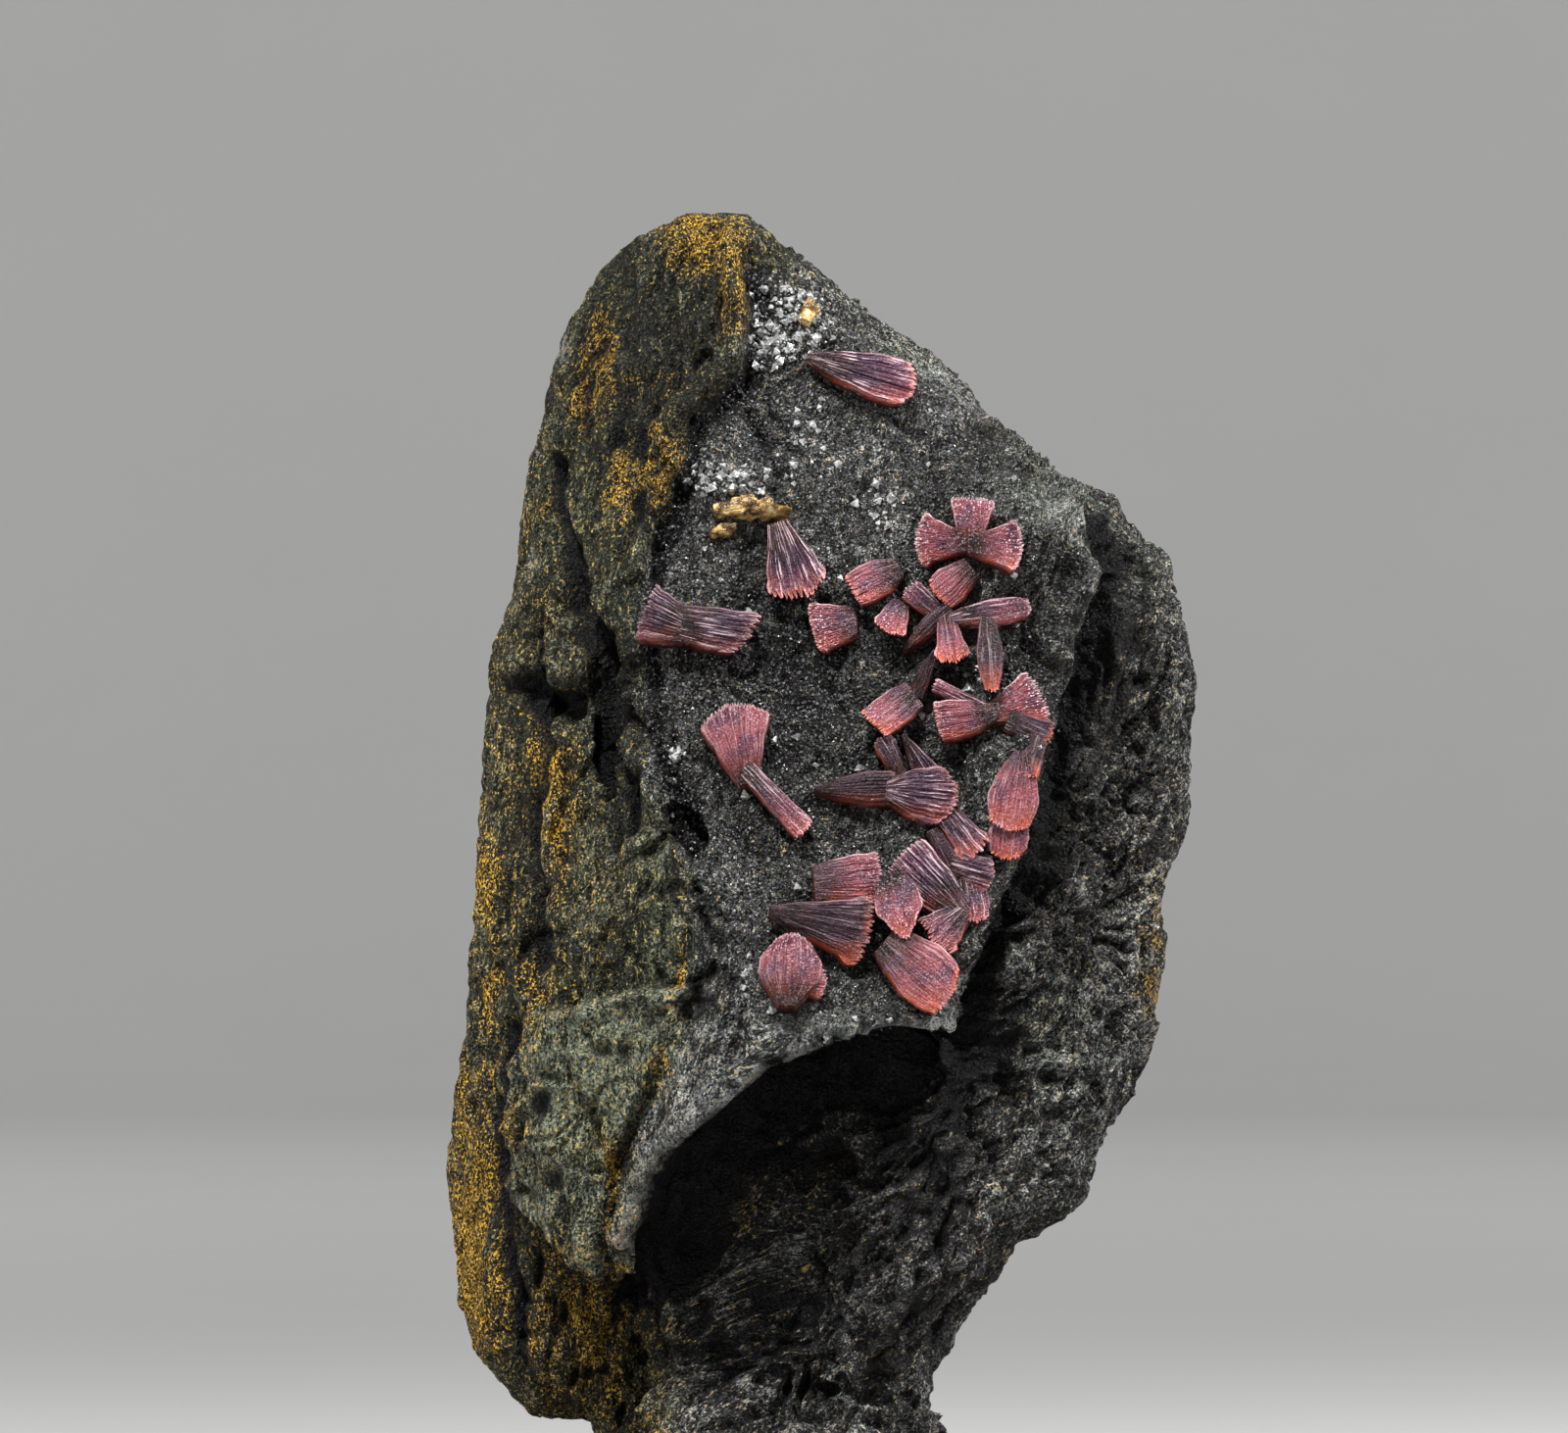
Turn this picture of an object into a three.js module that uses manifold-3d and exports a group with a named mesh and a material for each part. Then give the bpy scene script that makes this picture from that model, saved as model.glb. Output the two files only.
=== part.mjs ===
// Rhodochrosite on matrix: a tall block of dark foliated rock that stands on a flat foot, with
// sheaf-shaped and fan-shaped crystals grown on the dark pocket of its front.
// Millimetres, Z up. The front of the specimen faces -Y, its left flank faces -X.
import * as THREE from 'three';
import { ImprovedNoise } from 'three/addons/math/ImprovedNoise.js';
import Module from 'manifold-3d';

const wasm = await Module();
wasm.setup();
const noise = new ImprovedNoise();

// Driving dimensions
const HEIGHT = 111.4; // foot to the highest point of the block
const HALF_WIDTH = 33; // from the middle line to the block's widest points
const GRID = 3.15; // spacing of the points that shape the rough rock
const GAP = 0.3; // clearance between neighbouring pieces
const FRONT = -17; // depth of the pocket's surface at the middle of the front
const RIM_DEPTH = 2; // depth at which the block is at its widest
const SIDE_TAPER = 0.22; // how fast the sides draw in, in front of and behind the rim
const POCKET_DEPTH = 1.5; // how far the pocket is sunk into the front
const MIDDLE = [-0.33, -0.11]; // middle of the whole specimen's plan, which is moved to the origin
const BURIED = 3.2; // how far a crystal's root runs into the rock before it is trimmed
const DOME = 0.22; // how far the middle of a crystal's top stands above its sides
const ROOT_NARROWING = 0.7; // width of a crystal's root as a share of its top

// Roughness of the rock: broad lumps, small lumps and ropy strands
const LUMPS = { size: [15, 15, 17], height: 1.3 };
const SMALL_LUMPS = { size: [8, 8, 9], height: 0.65 };
const STRANDS = { width: 7.5, length: 22, height: 2.1, crest: 0.45, leftLean: 0.08, rightLean: 0.8 };

// The block seen from the front, clockwise from the top, as x and height.
const OUTLINE = [
  [-13.3, 111.4], [-7.7, 111.4], [-5.7, 110.7], [-2.5, 107.8], [1.9, 104.2], [4.9, 101.8],
  [8.8, 99.6], [12.5, 97.2], [14.9, 93.2], [16.8, 92.1], [20.3, 88.7], [21.8, 87.1],
  [24.9, 86.5], [27.3, 83.4], [29.9, 81.6], [31.0, 79.8], [31.6, 76.8], [33.0, 71.7],
  [32.8, 68.7], [31.4, 63.6], [32.3, 59.6], [32.0, 57.2], [30.4, 53.9], [29.7, 50.3],
  [30.7, 47.4], [29.3, 41.1], [27.5, 36.7], [24.6, 29.8], [23.1, 24.6], [20.8, 22.9],
  [16.1, 20.3], [15.6, 18.1], [11.8, 13.7], [10.7, 11.2], [9.1, 9.0], [8.9, 6.5],
  [9.6, 2.0], [10.0, -6], [-20.5, -6], [-19.8, 2.5], [-18.8, 4.8], [-21.2, 5.5],
  [-25.8, 6.1], [-28.4, 9.3], [-30.6, 9.9], [-31.5, 13.1], [-32.6, 15.9], [-32.0, 18.4],
  [-33.0, 23.5], [-33.0, 29.5], [-32.0, 32.3], [-31.4, 40.5], [-31.3, 49.6], [-30.7, 57.6],
  [-29.8, 65.9], [-28.9, 72.3], [-26.9, 80.2], [-26.3, 88.4], [-25.4, 91.1], [-24.6, 96.6],
  [-23.2, 100.6], [-21.7, 103.1], [-19.6, 106.5], [-17.6, 108.7],
];

// Broken faces that bound the block: a point on each face and the way the face looks.
const BROKEN_FACES = [
  { at: [2, FRONT, 75], looks: [0.03, -0.97, 0.22] }, // front with the crystal pocket
  { at: [-15.8, -16.9, 78], looks: [-0.7, -0.65, 0.3] }, // weathered left flank, top
  { at: [-15.8, -16.9, 78], looks: [-0.7, -0.7, 0.16] }, // weathered left flank, middle
  { at: [-7, -24.5, 42], looks: [-0.5, -0.86, -0.02] }, // grey fracture left of the shelf
  { at: [-22, -16, 40], looks: [-0.85, -0.5, 0] }, // left flank, low
  { at: [16, -12.5, 90], looks: [0.5, -0.5, 0.7] }, // lit rim at the upper right
  { at: [21.6, -16.6, 74], looks: [0.75, -0.6, -0.09] }, // dark right flank
  { at: [0, 21, 60], looks: [0.1, 0.98, 0.1] }, // back
  { at: [-22, 13, 55], looks: [-0.7, 0.7, 0.05] }, // back of the left side
  { at: [24, 12, 60], looks: [0.75, 0.65, -0.1] }, // back of the right side
  { at: [-8, 9, 110], looks: [0, 0.7, 0.7] }, // back of the top
  { at: [0, 19, 22], looks: [0.05, 0.88, -0.45] }, // back of the foot
];

// Shallow bumps (positive height) and dents (negative) on the front: middle, reach and height.
const SWELLS = [
  { at: [3, 66], reach: [15, 24], height: -POCKET_DEPTH }, // the pocket itself
  { at: [13.8, 84.5], reach: [4.5, 6], height: 1.3 }, // smooth mound beside the star
  { at: [20.5, 84], reach: [2.6, 5], height: 1.2 }, // rim beside the mound
  { at: [-8.5, 87.5], reach: [5, 2], height: 1.2 }, // pale ridge under the flank
  { at: [-18.4, 66.5], reach: [1.9, 8], height: -3.2 }, // groove between flank and pocket
  { at: [-22.5, 67.5], reach: [2.2, 2], height: -2.4 }, // hollow in the left flank
  { at: [-12.9, 57.4], reach: [2, 2.2], height: -3.6 }, // dark hole above the grey strip
  { at: [-24.5, 36], reach: [3.4, 8], height: 2.2 }, // tan plate, low on the left
  { at: [-28.5, 50], reach: [3, 7], height: 1.4 }, // bulge on the left flank
  { at: [24, 40], reach: [4.5, 6.5], height: 1.8 }, // lit boss on the right flank
  { at: [14.5, 36], reach: [2, 8], height: -2 }, // trough beside the shelf
  { at: [-3, 5], reach: [9, 4], height: 2 }, // lobe over the foot
];

// The overhung hollows under the shelf and under the tan plate. The lip passes through a point
// and drops away left of it by the slope, the roof falls towards the back, and the back wall
// comes forward right of the point.
const SHELF = { lip: [-2, -24.5, 39.4], slope: 0.9, fall: 0.75, wall: -12.5, forward: 0.85, from: -17.5 };
const PLATE = { lip: [-19.5, -14, 19], slope: -0.9, fall: 0.5, wall: -8, forward: 0, to: -16 };
const LOBE = { at: [-13.5, 9], across: 0.66, up: 0.75 }; // top of the lobe over the foot

// Signed distance to the outline in the front view, negative inside it.
function outlineDistance(x, z) {
  let nearest = Infinity;
  let inside = false;
  for (let i = 0; i < OUTLINE.length; i += 1) {
    const [ax, az] = OUTLINE[i];
    const [bx, bz] = OUTLINE[(i + 1) % OUTLINE.length];
    const ex = bx - ax;
    const ez = bz - az;
    const along = ((x - ax) * ex + (z - az) * ez) / (ex * ex + ez * ez);
    const t = Math.min(1, Math.max(0, along));
    nearest = Math.min(nearest, Math.hypot(x - ax - t * ex, z - az - t * ez));
    if (az > z !== bz > z && x < ax + ((z - az) * ex) / ez) inside = !inside;
  }
  return inside ? -nearest : nearest;
}

// Distance in front of a broken face, negative behind it.
function faceDistance({ at, looks }, x, y, z) {
  const size = Math.hypot(...looks);
  return ((x - at[0]) * looks[0] + (y - at[1]) * looks[1] + (z - at[2]) * looks[2]) / size;
}

// Positive in the space under a ledge and in front of the hollow's back wall.
function hollow({ lip, slope, fall, wall, forward, from = -HALF_WIDTH * 2, to = HALF_WIDTH * 2 }, x, y, z) {
  const drop = slope * Math.min(0, x - lip[0]) - fall * (y - lip[1]);
  const below = (lip[2] + drop - z) / Math.hypot(1, slope, fall);
  const inFront = wall - forward * Math.max(0, x - lip[0]) - y;
  return Math.min(below, inFront / Math.hypot(1, forward), x - from, to - x);
}

// Noise whose features have the given size.
function lumpNoise({ size, height }, x, y, z) {
  return height * noise.noise(x / size[0], y / size[1], z / size[2]);
}

// Roughness: lumps, and ropy strands with sharp valleys that run up the left flank and slant
// across the right one and the hollow. It fades at the rim, so that the outline holds.
function roughness(x, y, z) {
  const lumps = lumpNoise(LUMPS, x + 46.5, y, z) + lumpNoise(SMALL_LUMPS, x, y + 40, z);
  const right = THREE.MathUtils.smoothstep(x - 0.35 * (z - 60), 0, 16);
  const lean = THREE.MathUtils.lerp(STRANDS.leftLean, STRANDS.rightLean, right);
  const across = x * Math.cos(lean) - z * Math.sin(lean);
  const along = x * Math.sin(lean) + z * Math.cos(lean);
  const wave = noise.noise(across / STRANDS.width + 9, y / STRANDS.width, along / STRANDS.length);
  const strands = STRANDS.height * (2 * Math.abs(wave) - STRANDS.crest);
  const onFront = y < -9 && z > 42;
  const inPocket = onFront ? THREE.MathUtils.smoothstep(14 - Math.abs(x - 3), 0, 6) : 0;
  const atRim = Math.min(1, 0.3 + Math.abs(y - RIM_DEPTH) / 14);
  return (lumps - strands) * (1 - 0.7 * inPocket) * atRim;
}

// The rock as one field: negative inside, zero on its surface.
function rockField(x, y, z) {
  let field = outlineDistance(x, z) + SIDE_TAPER * Math.abs(y - RIM_DEPTH);
  for (const face of BROKEN_FACES) field = Math.max(field, faceDistance(face, x, y, z));
  if (y < -2) {
    for (const { at, reach, height } of SWELLS) {
      field -= height * Math.exp(-(((x - at[0]) / reach[0]) ** 2) - ((z - at[1]) / reach[1]) ** 2);
    }
  }
  const overLobe = LOBE.up * (z - LOBE.at[1]) - LOBE.across * (y - LOBE.at[0]);
  field = Math.max(field, Math.min(hollow(SHELF, x, y, z), overLobe), hollow(PLATE, x, y, z));
  return field + roughness(x, y, z);
}

// Moves a point along the field's slope onto the surface, no further than one step of the grid.
function settle(point) {
  const probe = 0.25;
  const start = [...point];
  for (let pass = 0; pass < 4; pass += 1) {
    const [x, y, z] = point;
    const here = rockField(x, y, z);
    const slope = [
      (rockField(x + probe, y, z) - rockField(x - probe, y, z)) / (2 * probe),
      (rockField(x, y + probe, z) - rockField(x, y - probe, z)) / (2 * probe),
      (rockField(x, y, z + probe) - rockField(x, y, z - probe)) / (2 * probe),
    ];
    const steep = Math.max(0.3, slope.reduce((sum, s) => sum + s * s, 0));
    for (let i = 0; i < 3; i += 1) {
      const moved = point[i] - (0.8 * here * slope[i]) / steep;
      point[i] = Math.min(start[i] + GRID * 0.45, Math.max(start[i] - GRID * 0.45, moved));
    }
  }
}

// Fills grid squares whose rock and air corners lie crosswise, where the net would touch itself.
function fillCrossings(values, steps, index) {
  const faint = -0.05; // just inside the rock
  const sides = [[0, 1, 1], [1, 0, 1], [1, 1, 0]];
  let filled = true;
  while (filled) {
    filled = false;
    for (let i = 0; i < steps[0]; i += 1) {
      for (let j = 0; j < steps[1]; j += 1) {
        for (let k = 0; k < steps[2]; k += 1) {
          for (const [a, b, c] of sides) {
            const first = a ? [i + 1, j, k] : [i, j + 1, k];
            const second = c ? [i, j, k + 1] : [i, j + 1, k];
            const square = [[i, j, k], first, [i + a, j + b, k + c], second].map((p) => index(...p));
            const rock = square.map((n) => values[n] < 0);
            if (rock[0] !== rock[2] || rock[1] !== rock[3] || rock[0] === rock[1]) continue;
            values[square[rock[0] ? 1 : 0]] = faint;
            filled = true;
          }
        }
      }
    }
  }
}

// Wraps the rock's field in a closed net of facets: one point per grid cell that the surface
// crosses, and one four-sided patch per grid edge that it crosses.
function wrapField() {
  const low = [-HALF_WIDTH - 5, -36, -12];
  const high = [HALF_WIDTH + 5, 28, HEIGHT + 6];
  const steps = high.map((v, n) => Math.ceil((v - low[n]) / GRID));
  const at = (i, j, k) => [low[0] + i * GRID, low[1] + j * GRID, low[2] + k * GRID];
  const index = (i, j, k) => (i * (steps[1] + 1) + j) * (steps[2] + 1) + k;
  const values = new Float64Array((steps[0] + 1) * (steps[1] + 1) * (steps[2] + 1));
  for (let i = 0; i <= steps[0]; i += 1) {
    for (let j = 0; j <= steps[1]; j += 1) {
      for (let k = 0; k <= steps[2]; k += 1) values[index(i, j, k)] = rockField(...at(i, j, k));
    }
  }
  fillCrossings(values, steps, index);
  const corners = [0, 1, 2, 3, 4, 5, 6, 7].map((c) => [c & 1, (c >> 1) & 1, (c >> 2) & 1]);
  const positions = [];
  const cellPoint = new Map();
  const pointOf = (i, j, k) => {
    const key = index(i, j, k);
    if (cellPoint.has(key)) return cellPoint.get(key);
    const sum = [0, 0, 0];
    let crossings = 0;
    for (const a of corners) {
      for (let axis = 0; axis < 3; axis += 1) {
        if (a[axis] === 1) continue;
        const b = a.map((v, n) => (n === axis ? 1 : v));
        const va = values[index(i + a[0], j + a[1], k + a[2])];
        const vb = values[index(i + b[0], j + b[1], k + b[2])];
        if (va < 0 === vb < 0) continue;
        const t = va / (va - vb);
        const pa = at(i + a[0], j + a[1], k + a[2]);
        for (let n = 0; n < 3; n += 1) sum[n] += pa[n] + (n === axis ? t * GRID : 0);
        crossings += 1;
      }
    }
    const point = sum.map((v) => v / crossings);
    settle(point);
    positions.push(point);
    cellPoint.set(key, positions.length - 1);
    return positions.length - 1;
  };
  const triangles = [];
  const addPatch = (a, b, c, d) => {
    const length = (p, q) => Math.hypot(...positions[p].map((v, n) => v - positions[q][n]));
    if (length(a, c) <= length(b, d)) triangles.push([a, b, c], [a, c, d]);
    else triangles.push([a, b, d], [b, c, d]);
  };
  for (let i = 1; i < steps[0]; i += 1) {
    for (let j = 1; j < steps[1]; j += 1) {
      for (let k = 1; k < steps[2]; k += 1) {
        const here = values[index(i, j, k)] < 0;
        for (let axis = 0; axis < 3; axis += 1) {
          const next = [i, j, k];
          next[axis] += 1;
          const there = values[index(...next)] < 0;
          if (here === there) continue;
          const [u, v] = [(axis + 1) % 3, (axis + 2) % 3];
          const ring = [[0, 0], [-1, 0], [-1, -1], [0, -1]].map(([du, dv]) => {
            const cell = [i, j, k];
            cell[u] += du;
            cell[v] += dv;
            return pointOf(...cell);
          });
          if (here) addPatch(...ring);
          else addPatch(...ring.reverse());
        }
      }
    }
  }
  return { positions, triangles };
}

// A solid from points and triangles.
function solidOf({ positions, triangles }) {
  return new wasm.Manifold(new wasm.Mesh({
    numProp: 3,
    vertProperties: Float32Array.from(positions.flat()),
    triVerts: Uint32Array.from(triangles.flat()),
  }));
}

// The same net with every point moved outwards.
function swollen({ positions, triangles }, distance) {
  const normals = positions.map(() => new THREE.Vector3());
  for (const triangle of triangles) {
    const [a, b, c] = triangle.map((n) => new THREE.Vector3(...positions[n]));
    const across = b.sub(a).cross(c.sub(a));
    triangle.forEach((n) => normals[n].add(across));
  }
  const moved = positions.map((p, n) => normals[n].setLength(distance).toArray().map((v, i) => v + p[i]));
  return { positions: moved, triangles };
}

// Depth of the rock's front surface behind a point of the front view.
function frontDepth(x, z) {
  let outside = -40;
  let inside = outside;
  while (rockField(x, inside, z) > 0 && inside < 20) {
    outside = inside;
    inside += 0.5;
  }
  for (let pass = 0; pass < 8; pass += 1) {
    const middle = (outside + inside) / 2;
    if (rockField(x, middle, z) > 0) outside = middle;
    else inside = middle;
  }
  return inside;
}

// One crystal: a fan or a spindle that runs from its neck to its end in the front view.
//   neck, end  x and height of both
//   wide       width at the neck and at the end, and the extra width of the belly between them
//   sag        how far the end's corners lie behind its middle
//   rise       how far the top stands out of the rock at the neck and at the end
//   roll       how far the top leans to one side
//   teeth      depth of the notches along the end
//   slant      how far one corner of the end lies ahead of the middle, and the other behind it
//   columns    strips across the fan
//   grow       clearance added all round, for the space that a crystal keeps free
function crystal({
  neck, end, wide, sag = 0.6, rise = [1.1, 1.9], roll = 0, teeth = 0.16, slant = 0, columns = 4,
  grow = 0,
}) {
  const [neckWidth, endWidth, belly = 0] = wide;
  const length = Math.hypot(end[0] - neck[0], end[1] - neck[1]);
  const ahead = [(end[0] - neck[0]) / length, (end[1] - neck[1]) / length];
  const beside = [-ahead[1], ahead[0]];
  const rows = 2;
  const depthAt = (s) => frontDepth(neck[0] + ahead[0] * length * s, neck[1] + ahead[1] * length * s);
  const neckDepth = depthAt(0.08) - rise[0];
  const endDepth = depthAt(0.92) - rise[1];
  const positions = [];
  const layer = (narrowing, shift) => {
    for (let row = 0; row <= rows; row += 1) {
      const s = row / rows;
      const taper = neckWidth + (endWidth - neckWidth) * s + belly * 4 * s * (1 - s);
      const width = taper * narrowing + 2 * grow;
      for (let column = 0; column <= columns; column += 1) {
        const t = (2 * column) / columns - 1;
        const notch = row === rows && column > 0 && column < columns ? teeth * (-1) ** column : 0;
        const reach = length * (1 - (1 - narrowing) * 0.6) + 2 * grow;
        const along = reach * s - grow + (slant * t - sag * t * t) * s * s + notch;
        const sideways = (width * t) / 2;
        const dome = shift === 0 ? DOME * (1 - t * t) : 0;
        positions.push([
          neck[0] + ahead[0] * along + beside[0] * sideways,
          neckDepth + (endDepth - neckDepth) * s + roll * t * s - dome + shift - grow,
          neck[1] + ahead[1] * along + beside[1] * sideways,
        ]);
      }
    }
  };
  layer(1, 0);
  layer(ROOT_NARROWING, BURIED + Math.max(...rise));
  const across = columns + 1;
  const lower = across * (rows + 1);
  const triangles = [];
  const patch = (a, b, c, d) => triangles.push([a, c, b], [a, d, c]);
  for (let row = 0; row < rows; row += 1) {
    for (let column = 0; column < columns; column += 1) {
      const n = row * across + column;
      patch(n, n + 1, n + 1 + across, n + across);
      patch(lower + n, lower + n + across, lower + n + 1 + across, lower + n + 1);
    }
    const left = row * across;
    const right = left + columns;
    patch(left, left + across, lower + left + across, lower + left);
    patch(right, lower + right, lower + right + across, right + across);
  }
  const last = rows * across;
  for (let column = 0; column < columns; column += 1) {
    patch(column, lower + column, lower + column + 1, column + 1);
    patch(last + column, last + column + 1, lower + last + column + 1, lower + last + column);
  }
  return solidOf({ positions, triangles });
}

// Crystals by the piece they belong to. Those of one piece are grown together.
const ROCK = { color: '#3a3c38', roughness: 0.9, metalness: 0 };
const PINK = { color: '#a5585c', roughness: 0.55, metalness: 0 };
const PURPLE = { color: '#7d6070', roughness: 0.45, metalness: 0 };
const GOLD = { color: '#a9823c', roughness: 0.4, metalness: 0 };
const PIECES = {
  top_fan: [PINK, [
    { neck: [-1.4, 98.4], end: [8.0, 95.8], wide: [0.6, 3.6, 1.3], sag: 0.9, roll: 0.3, columns: 5 },
  ]],
  golden_blade: [GOLD, [
    { neck: [-9.6, 85.2], end: [-2.9, 85.3], wide: [1.2, 1.5, 0.3], sag: 0.3, rise: [1.0, 1.4] },
  ]],
  golden_flake: [GOLD, [
    { neck: [-10.0, 83.2], end: [-7.6, 83.7], wide: [0.5, 0.9, 0.2], sag: 0.2, rise: [0.8, 1.0], columns: 3 },
  ]],
  golden_chip: [GOLD, [
    { neck: [-1.7, 101.6], end: [-0.9, 103.4], wide: [0.9, 1.4], sag: 0.3, rise: [0.9, 1.2], columns: 3 },
  ]],
  hanging_fan: [PURPLE, [
    { neck: [-4.1, 84.0], end: [-1.9, 77.3], wide: [1.9, 5.4, 0.2], sag: 1.5, roll: -0.5, columns: 5 },
  ]],
  left_sheaf: [PURPLE, [
    { neck: [-12.0, 74.8], end: [-15.7, 76.3], wide: [2.7, 5.1], sag: 0.2, rise: [1.7, 2.1] },
    { neck: [-13.2, 75.4], end: [-6.3, 74.2], wide: [2.7, 3.9, 0.2], sag: 0.4, rise: [1.7, 2.0], teeth: 0.4,
      slant: 0.8 },
  ]],
  star_petals: [PINK, [
    { neck: [12.6, 82.2], end: [7.8, 82.6], wide: [1.3, 4.5], sag: 1.1, roll: 0.3 },
    { neck: [12.5, 81.9], end: [12.9, 86.2], wide: [1.6, 3.6, 0.4], sag: 0.8, roll: -0.3 },
    { neck: [12.4, 82.0], end: [17.2, 82.0], wide: [1.2, 4.4], sag: 1.0, roll: 0.2 },
  ]],
  petal_under_star: [PINK, [
    { neck: [12.7, 80.1], end: [9.7, 77.5], wide: [1.9, 3.2, 0.5], sag: 0.4, roll: 0.3 },
  ]],
  west_petal: [PINK, [
    { neck: [6.5, 80.1], end: [2.3, 78.0], wide: [1.6, 2.9, 0.9], sag: 0.1, roll: -0.2 },
  ]],
  centre_petal: [PINK, [
    { neck: [2.7, 75.4], end: [-1.2, 74.8], wide: [2.2, 4.1, 0.4], sag: 0.2, roll: 0.3, slant: -0.2 },
  ]],
  small_petal: [PINK, [
    { neck: [6.7, 77.1], end: [5.4, 74.4], wide: [1.4, 2.9, 0.3], sag: 0.3, columns: 3 },
  ]],
  lower_star: [PURPLE, [
    { neck: [9.9, 76.1], end: [7.1, 78.4], wide: [1.2, 1.9, 0.3], sag: 0.3, columns: 3 },
    { neck: [7.0, 73.0], end: [10.9, 76.9], wide: [0.4, 0.9, 0.8], sag: 0.2, rise: [0.9, 1.3], columns: 3 },
    { neck: [10.4, 76.5], end: [11.2, 71.7], wide: [1.3, 3.0], sag: 0.7, roll: 0.3 },
    { neck: [10.8, 75.6], end: [17.9, 76.7], wide: [0.9, 1.4, 1.0], sag: 0.3, rise: [1.2, 1.7], columns: 3 },
    { neck: [14.1, 76.0], end: [14.5, 69.2], wide: [1.1, 1.3, 1.0], sag: 0.3, columns: 3 },
  ]],
  leaning_petal: [PINK, [
    { neck: [7.8, 69.1], end: [4.1, 66.4], wide: [2.6, 3.0, 0.3], sag: 0.1, roll: -0.3, slant: -0.3 },
    { neck: [7.8, 68.9], end: [9.6, 72.9], wide: [1.5, 0.3, 0.3], sag: 0.1, rise: [1.1, 1.7], columns: 3 },
  ]],
  edge_group: [PINK, [
    { neck: [14.9, 67.4], end: [9.6, 66.7], wide: [1.2, 3.5, 0.6], sag: 0.2, roll: 0.2, slant: -0.2 },
    { neck: [14.4, 67.6], end: [9.4, 70.0], wide: [0.9, 1.1], sag: 0.1, rise: [1.2, 1.1], columns: 3 },
    { neck: [14.0, 67.3], end: [18.9, 69.0], wide: [1.4, 5.0], sag: 0.4, teeth: 0.4, slant: -0.3 },
    { neck: [15.9, 66.9], end: [19.6, 65.2], wide: [1.8, 2.6], sag: 0.3, rise: [0.9, 1.3], columns: 3 },
    { neck: [18.9, 66.2], end: [17.4, 61.9], wide: [1.4, 1.9], sag: 0.2, rise: [1.0, 1.3], columns: 3 },
    { neck: [17.0, 64.1], end: [15.8, 57.2], wide: [1.2, 3.7, 1.6], sag: 0.7, roll: 0.3 },
    { neck: [16.1, 58.6], end: [15.6, 54.7], wide: [3.2, 3.0, 0.4], sag: 0.6, rise: [1.1, 1.4] },
  ]],
  round_fan_group: [PURPLE, [
    { neck: [-0.8, 60.8], end: [6.4, 61.0], wide: [0.5, 2.9, 0.8], sag: 0.3, rise: [1.0, 1.4] },
    { neck: [5.3, 60.8], end: [11.6, 60.1], wide: [1.5, 4.9, 1.1], sag: 1.6, rise: [1.5, 2.3], columns: 5 },
    { neck: [6.8, 65.6], end: [9.1, 61.8], wide: [0.3, 2.5], sag: 0.1, rise: [1.6, 1.3], columns: 3 },
    { neck: [6.8, 61.8], end: [4.9, 65.4], wide: [1.2, 1.9], sag: 0.3, rise: [1.0, 1.3], columns: 3 },
    { neck: [9.7, 59.8], end: [13.3, 55.3], wide: [1.9, 3.0], sag: 0.3, rise: [1.3, 1.7], teeth: 0.35 },
  ]],
  foot_group: [PINK, [
    { neck: [9.3, 57.4], end: [12.0, 52.8], wide: [1.1, 2.0], sag: 0.2, rise: [1.0, 1.2], columns: 3 },
    { neck: [-0.9, 52.7], end: [5.0, 53.2], wide: [3.2, 4.6, 0.2], sag: 0.2, rise: [1.6, 1.9] },
    { neck: [11.9, 50.0], end: [6.4, 55.2], wide: [2.2, 5.0, 0.5], sag: 0.5, rise: [1.4, 2.1], columns: 5 },
    { neck: [5.8, 53.6], end: [7.0, 47.9], wide: [2.2, 2.4, 1.7], sag: 1.5, rise: [2.4, 2.6] },
    { neck: [12.4, 50.8], end: [9.2, 47.8], wide: [1.4, 4.2], sag: 0.4, rise: [1.2, 1.8] },
    { neck: [10.9, 54.3], end: [14.6, 53.2], wide: [2.6, 3.0], sag: 0.5, rise: [1.3, 1.7] },
    { neck: [12.3, 53.2], end: [13.3, 49.3], wide: [2.4, 2.2, 0.4], sag: 0.4, rise: [1.3, 1.7], columns: 3 },
    { neck: [5.2, 47.8], end: [11.0, 43.0], wide: [2.8, 4.4, 1.5], sag: 0.6, rise: [1.7, 2.5], slant: -0.4,
      columns: 5 },
    { neck: [-4.7, 50.4], end: [4.0, 48.4], wide: [0.8, 5.9, 0.3], sag: 0.5, rise: [1.0, 1.8], columns: 5 },
  ]],
  round_petal: [PINK, [
    { neck: [-3.3, 42.2], end: [-2.7, 48.5], wide: [1.4, 4.2, 2.4], sag: 1.4, rise: [1.8, 2.3], columns: 5 },
    { neck: [-2.9, 44.4], end: [0.2, 44.3], wide: [1.8, 2.9], sag: 0.5, rise: [1.3, 1.7], columns: 3 },
  ]],
  red_fan: [PINK, [
    { neck: [-6.7, 61.3], end: [-8.1, 68.3], wide: [1.4, 6.0, 0.5], sag: 1.5, rise: [1.2, 2.1], columns: 5 },
    { neck: [-7.2, 63.0], end: [-1.6, 57.2], wide: [1.5, 2.0], sag: 0.2, rise: [1.4, 1.6], columns: 3 },
  ]],
};

const group = new THREE.Group();

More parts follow.
